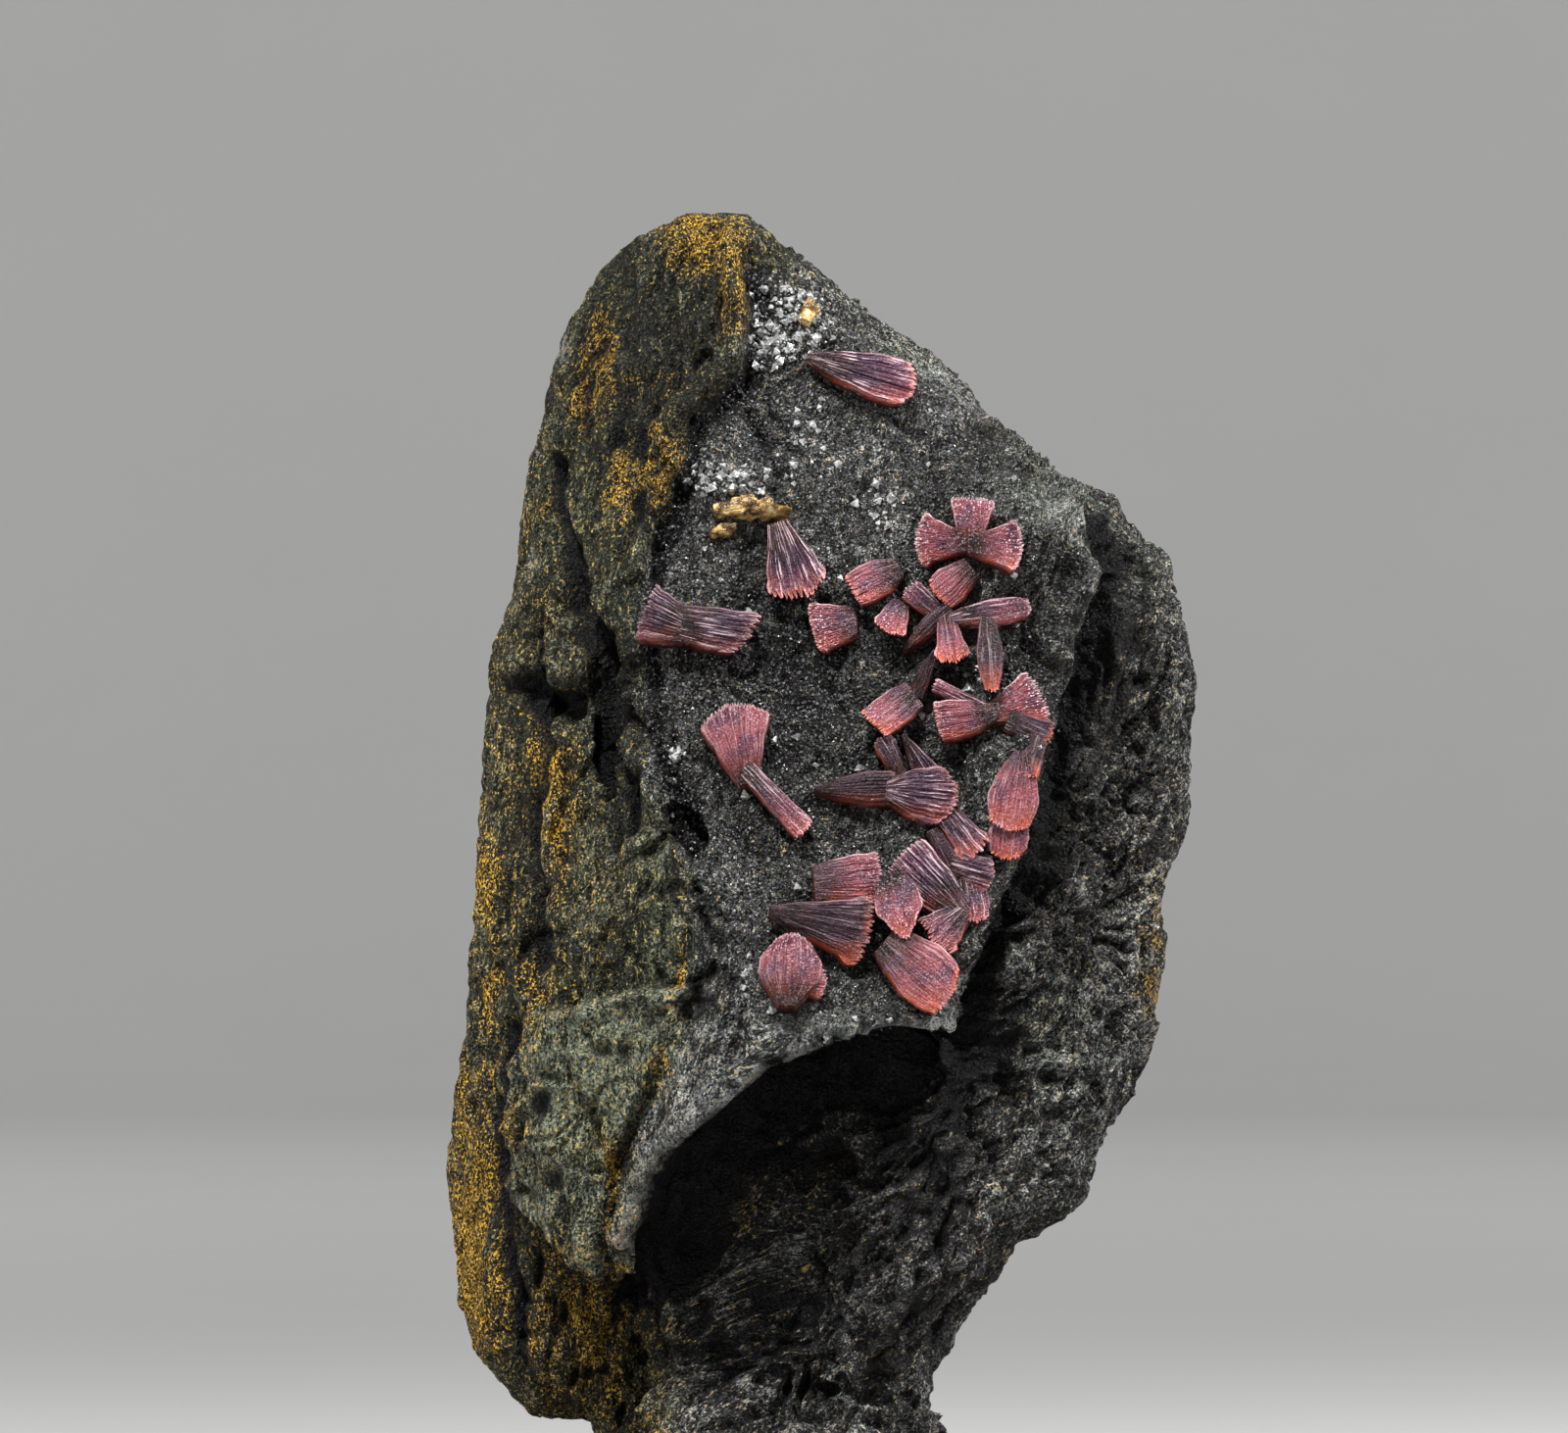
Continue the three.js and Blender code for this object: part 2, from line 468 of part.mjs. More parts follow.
// Adds a solid to the group as one named mesh with its own material.
function addPiece(name, solid, material) {
  const { vertProperties, triVerts } = solid.getMesh();
  const geometry = new THREE.BufferGeometry();
  geometry.setAttribute('position', new THREE.BufferAttribute(Float32Array.from(vertProperties), 3));
  geometry.setIndex(new THREE.BufferAttribute(Uint32Array.from(triVerts), 1));
  geometry.translate(-MIDDLE[0], -MIDDLE[1], 0);
  geometry.computeVertexNormals();
  const mesh = new THREE.Mesh(geometry, new THREE.MeshStandardMaterial(material));
  mesh.name = name;
  group.add(mesh);
}

// The block of rock, cut flat at the foot.
const rockNet = wrapField();
addPiece('matrix', solidOf(rockNet).trimByPlane([0, 0, 1], 0), ROCK);

// The crystals, grown together by piece and trimmed clear of the rock and of earlier pieces.
let taken = solidOf(swollen(rockNet, GAP));
for (const [name, [material, crystals]] of Object.entries(PIECES)) {
  const grown = crystals.map(crystal).reduce((whole, next) => whole.add(next));
  const bodies = grown.subtract(taken).decompose();
  const largest = bodies.reduce((best, body) => (body.volume() > best.volume() ? body : best));
  addPiece(name, largest, material);
  for (const spec of crystals) taken = taken.add(crystal({ ...spec, grow: GAP }));
}

export default group;
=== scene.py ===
"""Looks for the rhodochrosite specimen: rough dark rock, ribbed pink crystal fans, honey blades,
glinting grains, and a plain studio stage. Sizes are in millimetres unless a name says otherwise."""

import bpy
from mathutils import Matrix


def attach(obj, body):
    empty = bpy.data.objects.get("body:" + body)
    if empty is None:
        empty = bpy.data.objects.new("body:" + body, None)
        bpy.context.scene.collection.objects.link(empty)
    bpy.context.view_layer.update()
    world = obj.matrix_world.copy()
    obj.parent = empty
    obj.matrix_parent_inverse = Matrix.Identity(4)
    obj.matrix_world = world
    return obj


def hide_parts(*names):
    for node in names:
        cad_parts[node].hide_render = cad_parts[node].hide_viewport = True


bl_info = {
    "name": "Rhodochrosite specimen",
    "version": (1, 0, 0),
    "blender": (4, 5, 0),
    "location": "3D View > Sidebar > Specimen",
    "description": "Builds a rhodochrosite specimen around its packed solids",
    "category": "Add Mesh",
}

import math

import bpy
import numpy as np
from mathutils import Matrix, Vector, noise
from mathutils.bvhtree import BVHTree

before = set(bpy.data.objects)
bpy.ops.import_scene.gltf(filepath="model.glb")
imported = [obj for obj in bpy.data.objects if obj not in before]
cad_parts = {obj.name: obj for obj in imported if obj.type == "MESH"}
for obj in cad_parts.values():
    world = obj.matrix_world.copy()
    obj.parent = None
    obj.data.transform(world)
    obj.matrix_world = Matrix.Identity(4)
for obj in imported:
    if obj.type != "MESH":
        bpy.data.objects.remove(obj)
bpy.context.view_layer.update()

MM = 0.001
MIDDLE = (-0.33, -0.11)  # plan middle of the solids before they were moved to the origin
BURIED = 3.2  # how far a crystal's root runs into the rock
PHOTO_WIDE = 1600  # pixels
PHOTO_SCALE = 0.085  # millimetres of specimen per photo pixel
PHOTO_CENTRE = (-3.2, 67.1)  # specimen's x and height at the middle of the photo
FRONT = -17.0  # depth of the pocket's surface
CAMERA_DISTANCE = 1500.0  # from the camera to the pocket
ROOT_LEAN = 0.42  # how far a crystal's root drops for its depth
ROOT_RINGS = 8  # rings of points from a crystal's rim to the end of its root
ROW_STEP, COLUMN_STEP = 0.15, 0.065  # spacing of a crystal's points along and across it
HONEY_RIB_WIDTH = 0.3
GRAIN_SEED, CRYSTAL_SEED, HONEY_SEED = 11, 101, 301  # starts of the random draws

# Lamps: name, place, size of the square in millimetres and power in watts
LAMP_AIM = (0, -5, 60)
LAMPS = [
    ("key", (-90, -240, 440), 45, 4.0), ("rake", (320, -100, 340), 45, 2.8),
    ("fill", (-420, -200, 120), 150, 0.9),
]
# Four lamps over the floor that light its sweep: how far out and high they stand, how high on the
# sweep they aim, size and power
FLOOR_REACH = 2000.0
BACKDROP_OUT, BACKDROP_HIGH, BACKDROP_AIM, BACKDROP_SIZE, BACKDROP_POWER = 500, 1200, 650, 500, 26.0

# Edge of the dark crystal pocket in the front view, clockwise from its upper left, x and height
POCKET = [
    (-6.7, 106.3), (2.5, 103.0), (7.5, 99.5), (13.0, 94.5), (17.5, 89.5), (21.0, 85.0), (23.7, 79.9),
    (21.6, 74.0), (21.2, 69.7), (19.9, 65.5), (16.9, 54.4), (13.5, 47.6), (10.3, 41.0), (5.0, 40.0),
    (-3.0, 39.0), (-7.0, 41.0), (-9.0, 48.0), (-12.0, 55.5), (-15.6, 62.0), (-16.2, 74.0),
    (-15.4, 81.6), (-12.8, 88.4), (-11.0, 93.0), (-7.3, 97.0), (-6.9, 100.0),
]

# Where the rock is stained, tinted or lightened by painted light in the front view: middle, reach and
# strength
OCHRE_STAINS = [
    ((-10.5, 108.6), (3.6, 2.6), 0.9), ((-7.9, 103.2), (1.2, 2.8), 0.8), ((-19.4, 99.0), (1.4, 4.6), 0.55),
    ((-21.3, 95.0), (1.0, 3.0), 0.5), ((-14.6, 96.6), (3.0, 1.2), 0.3), ((-14.2, 88.9), (1.7, 3.6), 0.9),
    ((-17.6, 86.4), (1.3, 3.4), 0.7), ((-24.4, 62.6), (1.3, 2.4), 0.7), ((-23.3, 57.0), (1.2, 4.0), 0.45),
    ((-29.8, 53.0), (1.4, 3.6), 0.6), ((-29.2, 44.0), (1.0, 4.0), 0.45), ((-25.2, 40.8), (1.0, 3.0), 0.8),
    ((-30.6, 20.5), (2.0, 10.5), 1.1), ((-26.5, 33.0), (1.0, 3.0), 0.4), ((-22.0, 14.0), (4.0, 6.0), 0.45),
    ((28.6, 46.0), (1.2, 8.0), 0.4), ((-7.0, 25.0), (1.4, 5.0), 0.3), ((-19.5, 12.0), (1.3, 4.0), 0.45),
    ((17.5, 18.0), (3.5, 2.5), 0.3), ((-12.5, 47.5), (0.6, 8.0), 0.6), ((-14.0, 37.5), (0.6, 3.0), 0.6),
    ((-17.9, 26.0), (0.5, 5.0), 0.8), ((-27.9, 28.0), (0.5, 6.0), 0.6),
]
GREEN_TINTS = [
    ((-13.3, 47.6), (2.6, 11.0), 0.9), ((19.5, 88.5), (4.0, 4.5), 0.7), ((-20.5, 34.0), (4.0, 8.0), 0.8),
    ((5.0, 39.6), (9.0, 2.2), 0.8), ((26.0, 81.0), (4.5, 4.0), 0.4), ((20.0, 38.5), (4.0, 5.0), 0.5),
    ((13.5, 82.0), (4.0, 5.0), 0.25), ((-19.0, 97.0), (6.0, 14.0), 0.5), ((8.0, 98.5), (4.0, 2.0), 0.7),
]
# Pale spots: pale flecks and quartz, and painted light on the lit lip and on lit bosses at the right
PALE_AND_PAINTED_LIGHT_PATCHES = [
    ((-8.5, 87.5), (4.5, 1.8), 0.6), ((5.5, 39.8), (6.5, 1.0), 0.8),
    ((20.5, 86.5), (2.2, 4.0), 0.5), ((22.0, 38.0), (3.5, 5.0), 0.45), ((-23.0, 99.5), (0.6, 1.5), 1.2),
    ((4.9, 85.5), (2.6, 2.2), 0.2), ((-4.0, 101.5), (2.6, 4.0), 0.15), ((-25.4, 80.5), (0.5, 1.3), 0.8),
]
# Parts of the front with sharp outlines, x and height
FACET = [
    (-17.1, 30.2), (-12.0, 39.1), (-6.9, 42.9), (0.8, 43.4), (1.5, 40.2), (-4.3, 40.0), (-9.0, 34.9),
    (-15.8, 27.6),
]
SLAB = [
    (-26.4, 37.4), (-23.9, 41.2), (-17.1, 43.5), (-11.0, 44.0), (-18.4, 27.2), (-19.2, 18.3), (-21.3, 19.6),
    (-23.9, 23.0), (-26.4, 24.7), (-27.3, 31.5),
]
HOLLOW = [
    (-15.4, 27.6), (-9.0, 34.2), (-4.3, 39.4), (9.9, 39.4), (12.7, 35.7), (10.1, 27.2), (3.3, 16.2),
    (-6.9, 11.1), (-13.7, 10.2), (-17.1, 17.9),
]
DARK_FOOT = [
    (-27.3, 23.8), (-20.5, 18.7), (-16.2, 17.9), (-17.1, 8.5), (-23.9, 6.0), (-27.3, 11.9),
]
# Where the fine relief is weaker, and where painted shade darkens the rock: middle, reach and strength
CALM_PATCHES = [
    ((-10.7, 34.6), (6.0, 6.5), 0.5), ((4.0, 91.0), (9.0, 9.0), 0.3), ((26.0, 78.0), (4.0, 7.0), 0.4),
]
PAINTED_SHADE_PATCHES = [
    ((0.0, 22.0), (11.5, 13.5), 0.3), ((10.0, 33.0), (5.0, 7.0), 0.4), ((-4.0, 66.0), (9.0, 12.0), 0.5),
    ((20.5, 60.0), (3.0, 12.0), 0.5), ((25.0, 72.0), (3.5, 9.0), 0.45), ((-17.6, 66.0), (1.1, 8.0), 0.8),
    ((-4.5, 74.0), (7.0, 5.0), 0.3), ((0.5, 67.0), (7.0, 8.0), 0.35), ((-24.6, 68.7), (2.0, 1.3), 0.7),
    ((-12.9, 57.4), (1.6, 1.6), 0.7), ((9.0, 14.0), (6.0, 6.0), 0.35), ((-5.4, 90.8), (0.9, 4.0), 0.4),
    ((16.0, 73.0), (1.5, 1.2), 0.5), ((14.5, 89.0), (6.0, 5.0), 0.15),
    ((-15.5, 99.0), (11.0, 13.0), 0.62), ((-28.5, 28.0), (4.0, 18.0), 0.25),
]

# Edges and creases in the front view: line, reach, height, and whether the height drops across it
CREASES = [
    ([(9.9, 40.1), (2.7, 39.5), (-1.8, 37.7), (-4.8, 36.4), (-10.5, 31.4), (-13.4, 28.9), (-15.1, 25.2),
      (-16.3, 21.9)], 2.0, -1.5, True),
    ([(22.6, 82.5), (23.7, 79.9), (21.6, 74.0), (21.2, 69.7), (19.9, 65.5), (16.9, 54.4), (13.5, 47.6),
      (11.5, 41.5)], 1.7, -2.2, True),
    ([(-7.0, 106.5), (-6.6, 101.0), (-7.2, 97.0), (-11.6, 93.2), (-12.8, 88.4), (-15.2, 81.6), (-15.9, 74.0),
      (-15.8, 64.6), (-12.5, 57.0)], 1.3, -1.2, True),
    ([(-19.5, 73.9), (-18.1, 68.0), (-17.1, 62.9), (-16.2, 58.7)], 0.9, -1.8, False),
    ([(-23.7, 89.5), (-22.9, 81.6), (-21.3, 74.8), (-19.5, 67.6), (-19.0, 60.5)], 0.6, -2.2, False),
    ([(-22.2, 82.6), (-20.5, 76.5), (-17.9, 69.7), (-16.2, 66.0)], 0.5, -1.8, False),
    ([(-27.0, 69.7), (-24.5, 68.4), (-22.3, 68.2)], 1.2, -2.6, False),
    ([(-13.2, 58.4), (-11.6, 56.6)], 0.8, -1.4, False),
    ([(-25.4, 74.0), (-24.6, 66.0), (-25.6, 56.0), (-24.4, 46.0)], 0.8, -1.4, False),
    ([(-6.6, 93.4), (-5.2, 90.5), (-3.9, 87.0)], 0.5, -0.6, False),
    ([(-10.9, 98.3), (-10.1, 98.3)], 0.55, -1.4, False),
    ([(-19.6, 33.0), (-18.6, 26.0), (-18.9, 19.5)], 0.8, -1.0, False),
    ([(-27.8, 40.0), (-28.6, 30.0), (-27.9, 21.0), (-26.4, 13.0)], 0.8, -1.5, False),
    ([(14.2, 44.0), (12.6, 34.0), (11.0, 25.0), (7.0, 13.0)], 1.4, -0.9, False),
    ([(-8.5, 9.5), (-2.0, 9.0), (4.5, 8.0)], 0.9, -0.9, False),
    ([(23.5, 44.5), (26.5, 39.0), (23.6, 33.5)], 1.3, 0.5, False),
]

# Where clear quartz grains gather: middle, reach and strength
QUARTZ_SPOTS = [
    ((-4.4, 99.6), (2.6, 1.6), 0.7), ((-2.6, 103.4), (3.8, 3.0), 0.45), ((4.8, 85.4), (2.1, 1.5), 0.35),
    ((-8.8, 87.6), (3.4, 1.0), 0.55), ((-1.2, 91.0), (3.0, 3.0), 0.1), ((13.0, 71.5), (1.6, 2.0), 0.3),
    ((-14.0, 63.5), (2.0, 5.0), 0.12), ((-6.0, 44.0), (2.0, 2.0), 0.15),
]

# How each kind of crystal looks: pinkness of the top, pale stripes, painted orange glow of the rim lit from
# behind, frosted end, height of the ribs and size of its lumps
STYLES = {
    "frosted": (0.9, 0.1, 0.8, 1.0, 0.012, 0.0),
    "pink": (0.85, 0.28, 0.9, 0.5, 0.04, 0.0),
    "red": (1.0, 0.32, 1.0, 0.35, 0.05, 0.0),
    "mauve": (0.12, 0.5, 0.4, 0.1, 0.1, 0.0),
    "striped": (0.35, 0.8, 0.75, 0.2, 0.12, 0.0),
    "dark": (0.05, 0.15, 0.5, 0.1, 0.07, 0.0),
    "brown": (0.1, 0.3, 0.9, 0.15, 0.08, 0.0),
    "pale": (0.55, 0.7, 0.6, 0.4, 0.05, 0.0),
    "honey": (0.5, 0.4, 0.3, 0.3, 0.02, 0.4),
}


def grown(style, neck, end, wide, sag=0.6, rise=(1.1, 1.9), roll=0.0, teeth=0.22, slant=0.0):
    """One crystal's measures: it runs from its neck to its end in the front view."""
    return {"style": style, "neck": neck, "end": end, "wide": wide, "sag": sag, "rise": rise,
            "roll": roll, "teeth": teeth, "slant": slant}


# The crystals of each piece: style, neck, end and the widths at the neck, end and belly
CRYSTALS = {
    "top_fan": [grown("striped", (-1.4, 98.4), (8.0, 95.8), (0.6, 3.6, 1.3), 0.9, roll=0.3)],
    "hanging_fan": [grown("striped", (-4.1, 84.0), (-1.9, 77.3), (1.9, 5.4, 0.2), 1.5, roll=-0.5, teeth=0.5)],
    "left_sheaf": [
        grown("mauve", (-12.0, 74.8), (-15.7, 76.3), (2.7, 5.1, 0), 0.2, (1.7, 2.1)),
        grown("mauve", (-13.2, 75.4), (-6.3, 74.2), (2.7, 3.9, 0.2), 0.4, (1.7, 2.0), teeth=0.6, slant=0.8),
    ],
    "star_petals": [
        grown("frosted", (12.6, 82.2), (7.8, 82.6), (1.3, 4.5, 0), 0.8, roll=0.3),
        grown("frosted", (12.5, 81.9), (12.9, 86.2), (1.6, 3.7, 0.2), 0.25, roll=-0.3),
        grown("frosted", (12.4, 82.0), (17.2, 82.0), (1.2, 4.4, 0), 0.6, roll=0.2),
    ],
    "petal_under_star": [grown("red", (12.7, 80.1), (9.7, 77.5), (1.9, 3.2, 0.5), 0.4, roll=0.3)],
    "west_petal": [grown("pink", (6.5, 80.1), (2.3, 78.0), (1.6, 2.9, 0.9), 0.1, roll=-0.2)],
    "centre_petal": [grown("frosted", (2.7, 75.4), (-1.2, 74.8), (2.2, 4.1, 0.4), 0.2, roll=0.3, slant=-0.2)],
    "small_petal": [grown("frosted", (6.7, 77.1), (5.4, 74.4), (1.4, 2.9, 0.3), 0.3)],
    "lower_star": [
        grown("pale", (9.9, 76.1), (7.1, 78.4), (1.2, 1.9, 0.3), 0.3),
        grown("dark", (7.0, 73.0), (10.9, 76.9), (0.4, 0.9, 0.8), 0.2, (0.9, 1.3)),
        grown("red", (10.4, 76.5), (11.2, 71.7), (1.3, 3.0, 0), 0.7, roll=0.3),
        grown("pale", (10.8, 75.6), (17.9, 76.7), (0.9, 1.4, 1.0), 0.3, (1.2, 1.7)),
        grown("brown", (14.1, 76.0), (14.5, 69.2), (1.1, 1.3, 1.0), 0.3),
    ],
    "leaning_petal": [
        grown("pink", (7.8, 69.1), (4.1, 66.4), (2.6, 3.0, 0.3), 0.1, roll=-0.3, slant=-0.3),
        grown("dark", (7.8, 68.9), (9.6, 72.9), (1.5, 0.3, 0.3), 0.1, (1.1, 1.7)),
    ],
    "edge_group": [
        grown("pink", (14.9, 67.4), (9.6, 66.7), (1.2, 3.5, 0.6), 0.2, roll=0.2, slant=-0.2),
        grown("pale", (14.4, 67.6), (9.4, 70.0), (0.9, 1.1, 0), 0.1, (1.2, 1.1)),
        grown("frosted", (14.0, 67.3), (18.9, 69.0), (1.4, 5.0, 0), 0.4, teeth=0.4, slant=-0.3),
        grown("brown", (15.9, 66.9), (19.6, 65.2), (1.8, 2.6, 0), 0.3, (0.9, 1.3)),
        grown("brown", (18.9, 66.2), (17.4, 61.9), (1.4, 1.9, 0), 0.2, (1.0, 1.3)),
        grown("red", (17.0, 64.1), (15.8, 57.2), (1.2, 3.7, 1.6), 0.7, roll=0.3),
        grown("red", (16.1, 58.6), (15.6, 54.7), (3.2, 3.0, 0.4), 0.6, (1.1, 1.4)),
    ],
    "round_fan_group": [
        grown("dark", (-0.8, 60.8), (6.4, 61.0), (0.5, 2.9, 0.8), 0.3, (1.0, 1.4)),
        grown("striped", (5.3, 60.8), (11.6, 60.1), (1.5, 4.9, 1.1), 1.6, (1.5, 2.3)),
        grown("mauve", (6.8, 65.6), (9.1, 61.8), (0.3, 2.5, 0), 0.1, (1.6, 1.3)),
        grown("brown", (6.8, 61.8), (4.9, 65.4), (1.2, 1.9, 0), 0.3, (1.0, 1.3)),
        grown("striped", (9.7, 59.8), (13.3, 55.3), (1.9, 3.0, 0), 0.3, (1.3, 1.7), teeth=0.4),
    ],
    "foot_group": [
        grown("brown", (9.3, 57.4), (12.0, 52.8), (1.1, 2.0, 0), 0.2, (1.0, 1.2)),
        grown("pink", (-0.9, 52.7), (5.0, 53.2), (3.2, 4.6, 0.2), 0.2, (1.6, 1.9)),
        grown("striped", (11.9, 50.0), (6.4, 55.2), (2.2, 5.0, 0.5), 0.5, (1.4, 2.1)),
        grown("frosted", (5.8, 53.6), (7.0, 47.9), (2.2, 2.4, 1.7), 1.5, (2.4, 2.6)),
        grown("pale", (12.4, 50.8), (9.2, 47.8), (1.4, 4.2, 0), 0.4, (1.2, 1.8), teeth=0.4),
        grown("mauve", (10.9, 54.3), (14.6, 53.2), (2.6, 3.0, 0), 0.5, (1.3, 1.7)),
        grown("pale", (12.3, 53.2), (13.3, 49.3), (2.4, 2.2, 0.4), 0.4, (1.3, 1.7)),
        grown("red", (5.2, 47.8), (11.0, 43.0), (2.8, 4.4, 1.5), 0.6, (1.7, 2.5), slant=-0.4),
        grown("brown", (-4.7, 50.4), (4.0, 48.4), (0.8, 5.9, 0.3), 0.5, (1.0, 1.8), teeth=0.4),
    ],
    "round_petal": [
        grown("pink", (-3.3, 42.2), (-2.7, 48.5), (1.4, 4.2, 2.4), 1.4, (1.8, 2.3)),
        grown("pink", (-2.9, 44.4), (0.2, 44.3), (1.8, 2.9, 0), 0.5, (1.3, 1.7)),
    ],
    "red_fan": [
        grown("red", (-6.7, 61.3), (-8.1, 68.3), (1.4, 6.0, 0.5), 1.5, (1.2, 2.1)),
        grown("pale", (-7.2, 63.0), (-1.6, 57.2), (1.5, 2.0, 0), 0.2, (1.4, 1.6)),
    ],
}

HONEY_BLADES = {
    "golden_blade": [
        grown("honey", (-9.5, 85.0), (-5.6, 85.9), (0.8, 1.5, 0.2), 0.3, (1.0, 1.4), roll=0.3),
        grown("honey", (-7.4, 85.6), (-2.9, 84.8), (1.3, 0.9, 0.4), 0.4, (1.3, 1.0), roll=-0.3),
        grown("honey", (-6.4, 85.0), (-4.4, 86.1), (0.9, 0.7, 0.3), 0.3, (1.4, 1.5)),
    ],
    "golden_flake": [grown("honey", (-10.0, 83.2), (-7.6, 83.7), (0.5, 0.9, 0.2), 0.2, (0.8, 1.0))],
    "golden_chip": [grown("honey", (-1.7, 101.6), (-0.9, 103.4), (0.9, 1.4, 0), 0.3, (0.9, 1.2))],
}


# Settings

class SpecimenSizes(bpy.types.PropertyGroup):
    rock_cell: bpy.props.FloatProperty(
        name="Rock mesh cell", description="Spacing of the rock's points", default=0.46 * MM,
        min=0.4 * MM, unit="LENGTH", subtype="DISTANCE", precision=5)
    relief: bpy.props.FloatProperty(
        name="Relief", description="Strength of the rock's fine relief", default=1.0, min=0.0,
        subtype="FACTOR")
    druse_count: bpy.props.IntProperty(
        name="Dark grains", description="Number of dark grains in the pocket", default=22000, min=0)
    quartz_count: bpy.props.IntProperty(
        name="Quartz grains", description="Number of clear grains in the pocket", default=850, min=0)
    rib_width: bpy.props.FloatProperty(
        name="Rib width", description="Width of a crystal's ribs", default=0.28 * MM, min=0.1 * MM,
        unit="LENGTH", subtype="DISTANCE", precision=5)


def colour(name, description, value):
    """A colour setting."""
    return bpy.props.FloatVectorProperty(
        name=name, description=description, default=value, subtype="COLOR", size=3, min=0.0, max=1.0)


class SpecimenColours(bpy.types.PropertyGroup):
    # The dark rock colour also paints the shade in valleys, the hollow and under the lip
    rock_dark: colour("Rock, dark", "Valleys and fresh dark rock", (0.002, 0.002, 0.002))
    rock_mid: colour("Rock, grey", "Body of the fresh rock", (0.1, 0.103, 0.1))
    # The light rock colour also paints highlights on strands and on lit places
    rock_light: colour("Rock, light", "Bright strands and grains", (0.58, 0.59, 0.57))
    weathered_strands_and_highlights: colour("Weathered strands", "Bright strands of the weathered flank", (0.42, 0.41, 0.24))
    # The glint colour paints small glints on bright grains
    rock_glint: colour("Rock, glints", "Small bright grains in the rock", (0.55, 0.56, 0.54))
    weathered: colour("Weathered rock", "Grey-green weathered flank", (0.065, 0.069, 0.036))
    ochre: colour("Ochre stain", "Yellow-brown iron stain", (0.5, 0.29, 0.03))
    green: colour("Green tint", "Green tint of the lips and edges", (0.11, 0.15, 0.085))
    pink: colour("Crystal, pink", "Tops of the fans", (0.25, 0.07, 0.082))
    mauve: colour("Crystal, mauve", "Bodies of the sheaves", (0.046, 0.024, 0.05))
    brown: colour("Crystal, brown", "Translucent brown necks", (0.06, 0.022, 0.012))
    root: colour("Crystal, root", "Dark roots of the crystals", (0.011, 0.005, 0.006))
    pale: colour("Crystal, pale", "Pale ribs", (0.66, 0.48, 0.52))
    # The orange colour paints the glow of thin edges lit from behind
    orange: colour("Crystal, orange", "Thin edges with light behind them", (0.5, 0.085, 0.02))
    honey: colour("Honey blades", "Honey-brown blades", (0.34, 0.2, 0.05))
    honey_dark: colour("Honey, dark", "Dark clouds in the honey blades", (0.07, 0.035, 0.008))
    honey_pale: colour("Honey, pale", "Pale clouds in the honey blades", (0.62, 0.5, 0.26))
    # The honey glint colour paints small glints on the blades
    honey_glint: colour("Honey, glints", "Bright grains on the honey blades", (0.7, 0.6, 0.4))
    druse: colour("Dark grains", "Dark grains of the pocket", (0.06, 0.061, 0.06))
    quartz: colour("Quartz grains", "Clear grains of the pocket", (0.8, 0.81, 0.8))
    floor: colour("Floor", "The studio floor", (0.3, 0.3, 0.296))


class SpecimenSettings(bpy.types.PropertyGroup):
    sizes: bpy.props.PointerProperty(type=SpecimenSizes)
    colours: bpy.props.PointerProperty(type=SpecimenColours)


# Numbers and noise

def smooth(low, high, values):
    """0 below low, 1 above high, smooth between."""
    t = np.clip((values - low) / (high - low), 0.0, 1.0)
    return t * t * (3 - 2 * t)


def perlin(points, size, shift=0.0):
    """Smooth noise from about -1 to 1 at every point, with features of that size."""
    scaled = points / np.asarray(size, float) + shift
    return np.fromiter((noise.noise(p) for p in scaled.tolist()), float, len(points))


def patches(x, z, spots):
    """Sum of soft spots in the front view."""
    total = np.zeros(len(x))
    for (cx, cz), (rx, rz), strength in spots:
        total += strength * np.exp(-(((x - cx) / rx) ** 2) - ((z - cz) / rz) ** 2)
    return total


def segment_gap(x, z, start, end):
    """Distance to a straight piece of a line, and a number above 0 for points left of it as it runs."""
    (ax, az), (bx, bz) = start, end
    ex, ez = bx - ax, bz - az
    t = np.clip(((x - ax) * ex + (z - az) * ez) / (ex * ex + ez * ez), 0, 1)
    return np.hypot(x - ax - t * ex, z - az - t * ez), ex * (z - az) - ez * (x - ax)


def polygon_distance(x, z, outline):
    """Distance inside an outline of the front view, negative outside it."""
    nearest = np.full(len(x), np.inf)
    inside = np.zeros(len(x), bool)
    for (ax, az), (bx, bz) in zip(outline, outline[1:] + outline[:1]):
        nearest = np.minimum(nearest, segment_gap(x, z, (ax, az), (bx, bz))[0])
        if az != bz:
            inside ^= ((az > z) != (bz > z)) & (x < ax + (z - az) * (bx - ax) / (bz - az))
    return np.where(inside, nearest, -nearest)


# Meshes

def in_scene(name, data):
    """A new object of the scene for a mesh, a lamp or a camera."""
    made = bpy.data.objects.new(name, data)
    bpy.context.scene.collection.objects.link(made)
    return made


def new_object(name, points, faces):
    """A mesh object in the scene, from points in millimetres."""
    mesh = bpy.data.meshes.new(name)
    mesh.from_pydata((np.asarray(points) * MM).tolist(), [], [list(map(int, f)) for f in faces])
    mesh.update()
    return in_scene(name, mesh)


def set_values(made, name, values):
    """Stores one number or one vector per point under a name that materials read."""
    values = np.asarray(values, np.float32)
    kind, field = ("FLOAT", "value") if values.ndim == 1 else ("FLOAT_VECTOR", "vector")
    attribute = made.data.attributes.new(name, kind, "POINT")
    attribute.data.foreach_set(field, values.ravel())


def rock_tree(node_object):
    """A search tree that finds where a line meets a mesh."""
    points = [v.co.copy() for v in node_object.data.vertices]
    return BVHTree.FromPolygons(points, [list(p.vertices) for p in node_object.data.polygons])


def front_depth(tree, x, z):
    """Depth of the rock's front behind a point of the front view, in millimetres."""
    hit = tree.ray_cast(Vector((x * MM, -0.08, z * MM)), Vector((0, 1, 0)))[0]
    return None if hit is None else hit.y / MM


# Rock

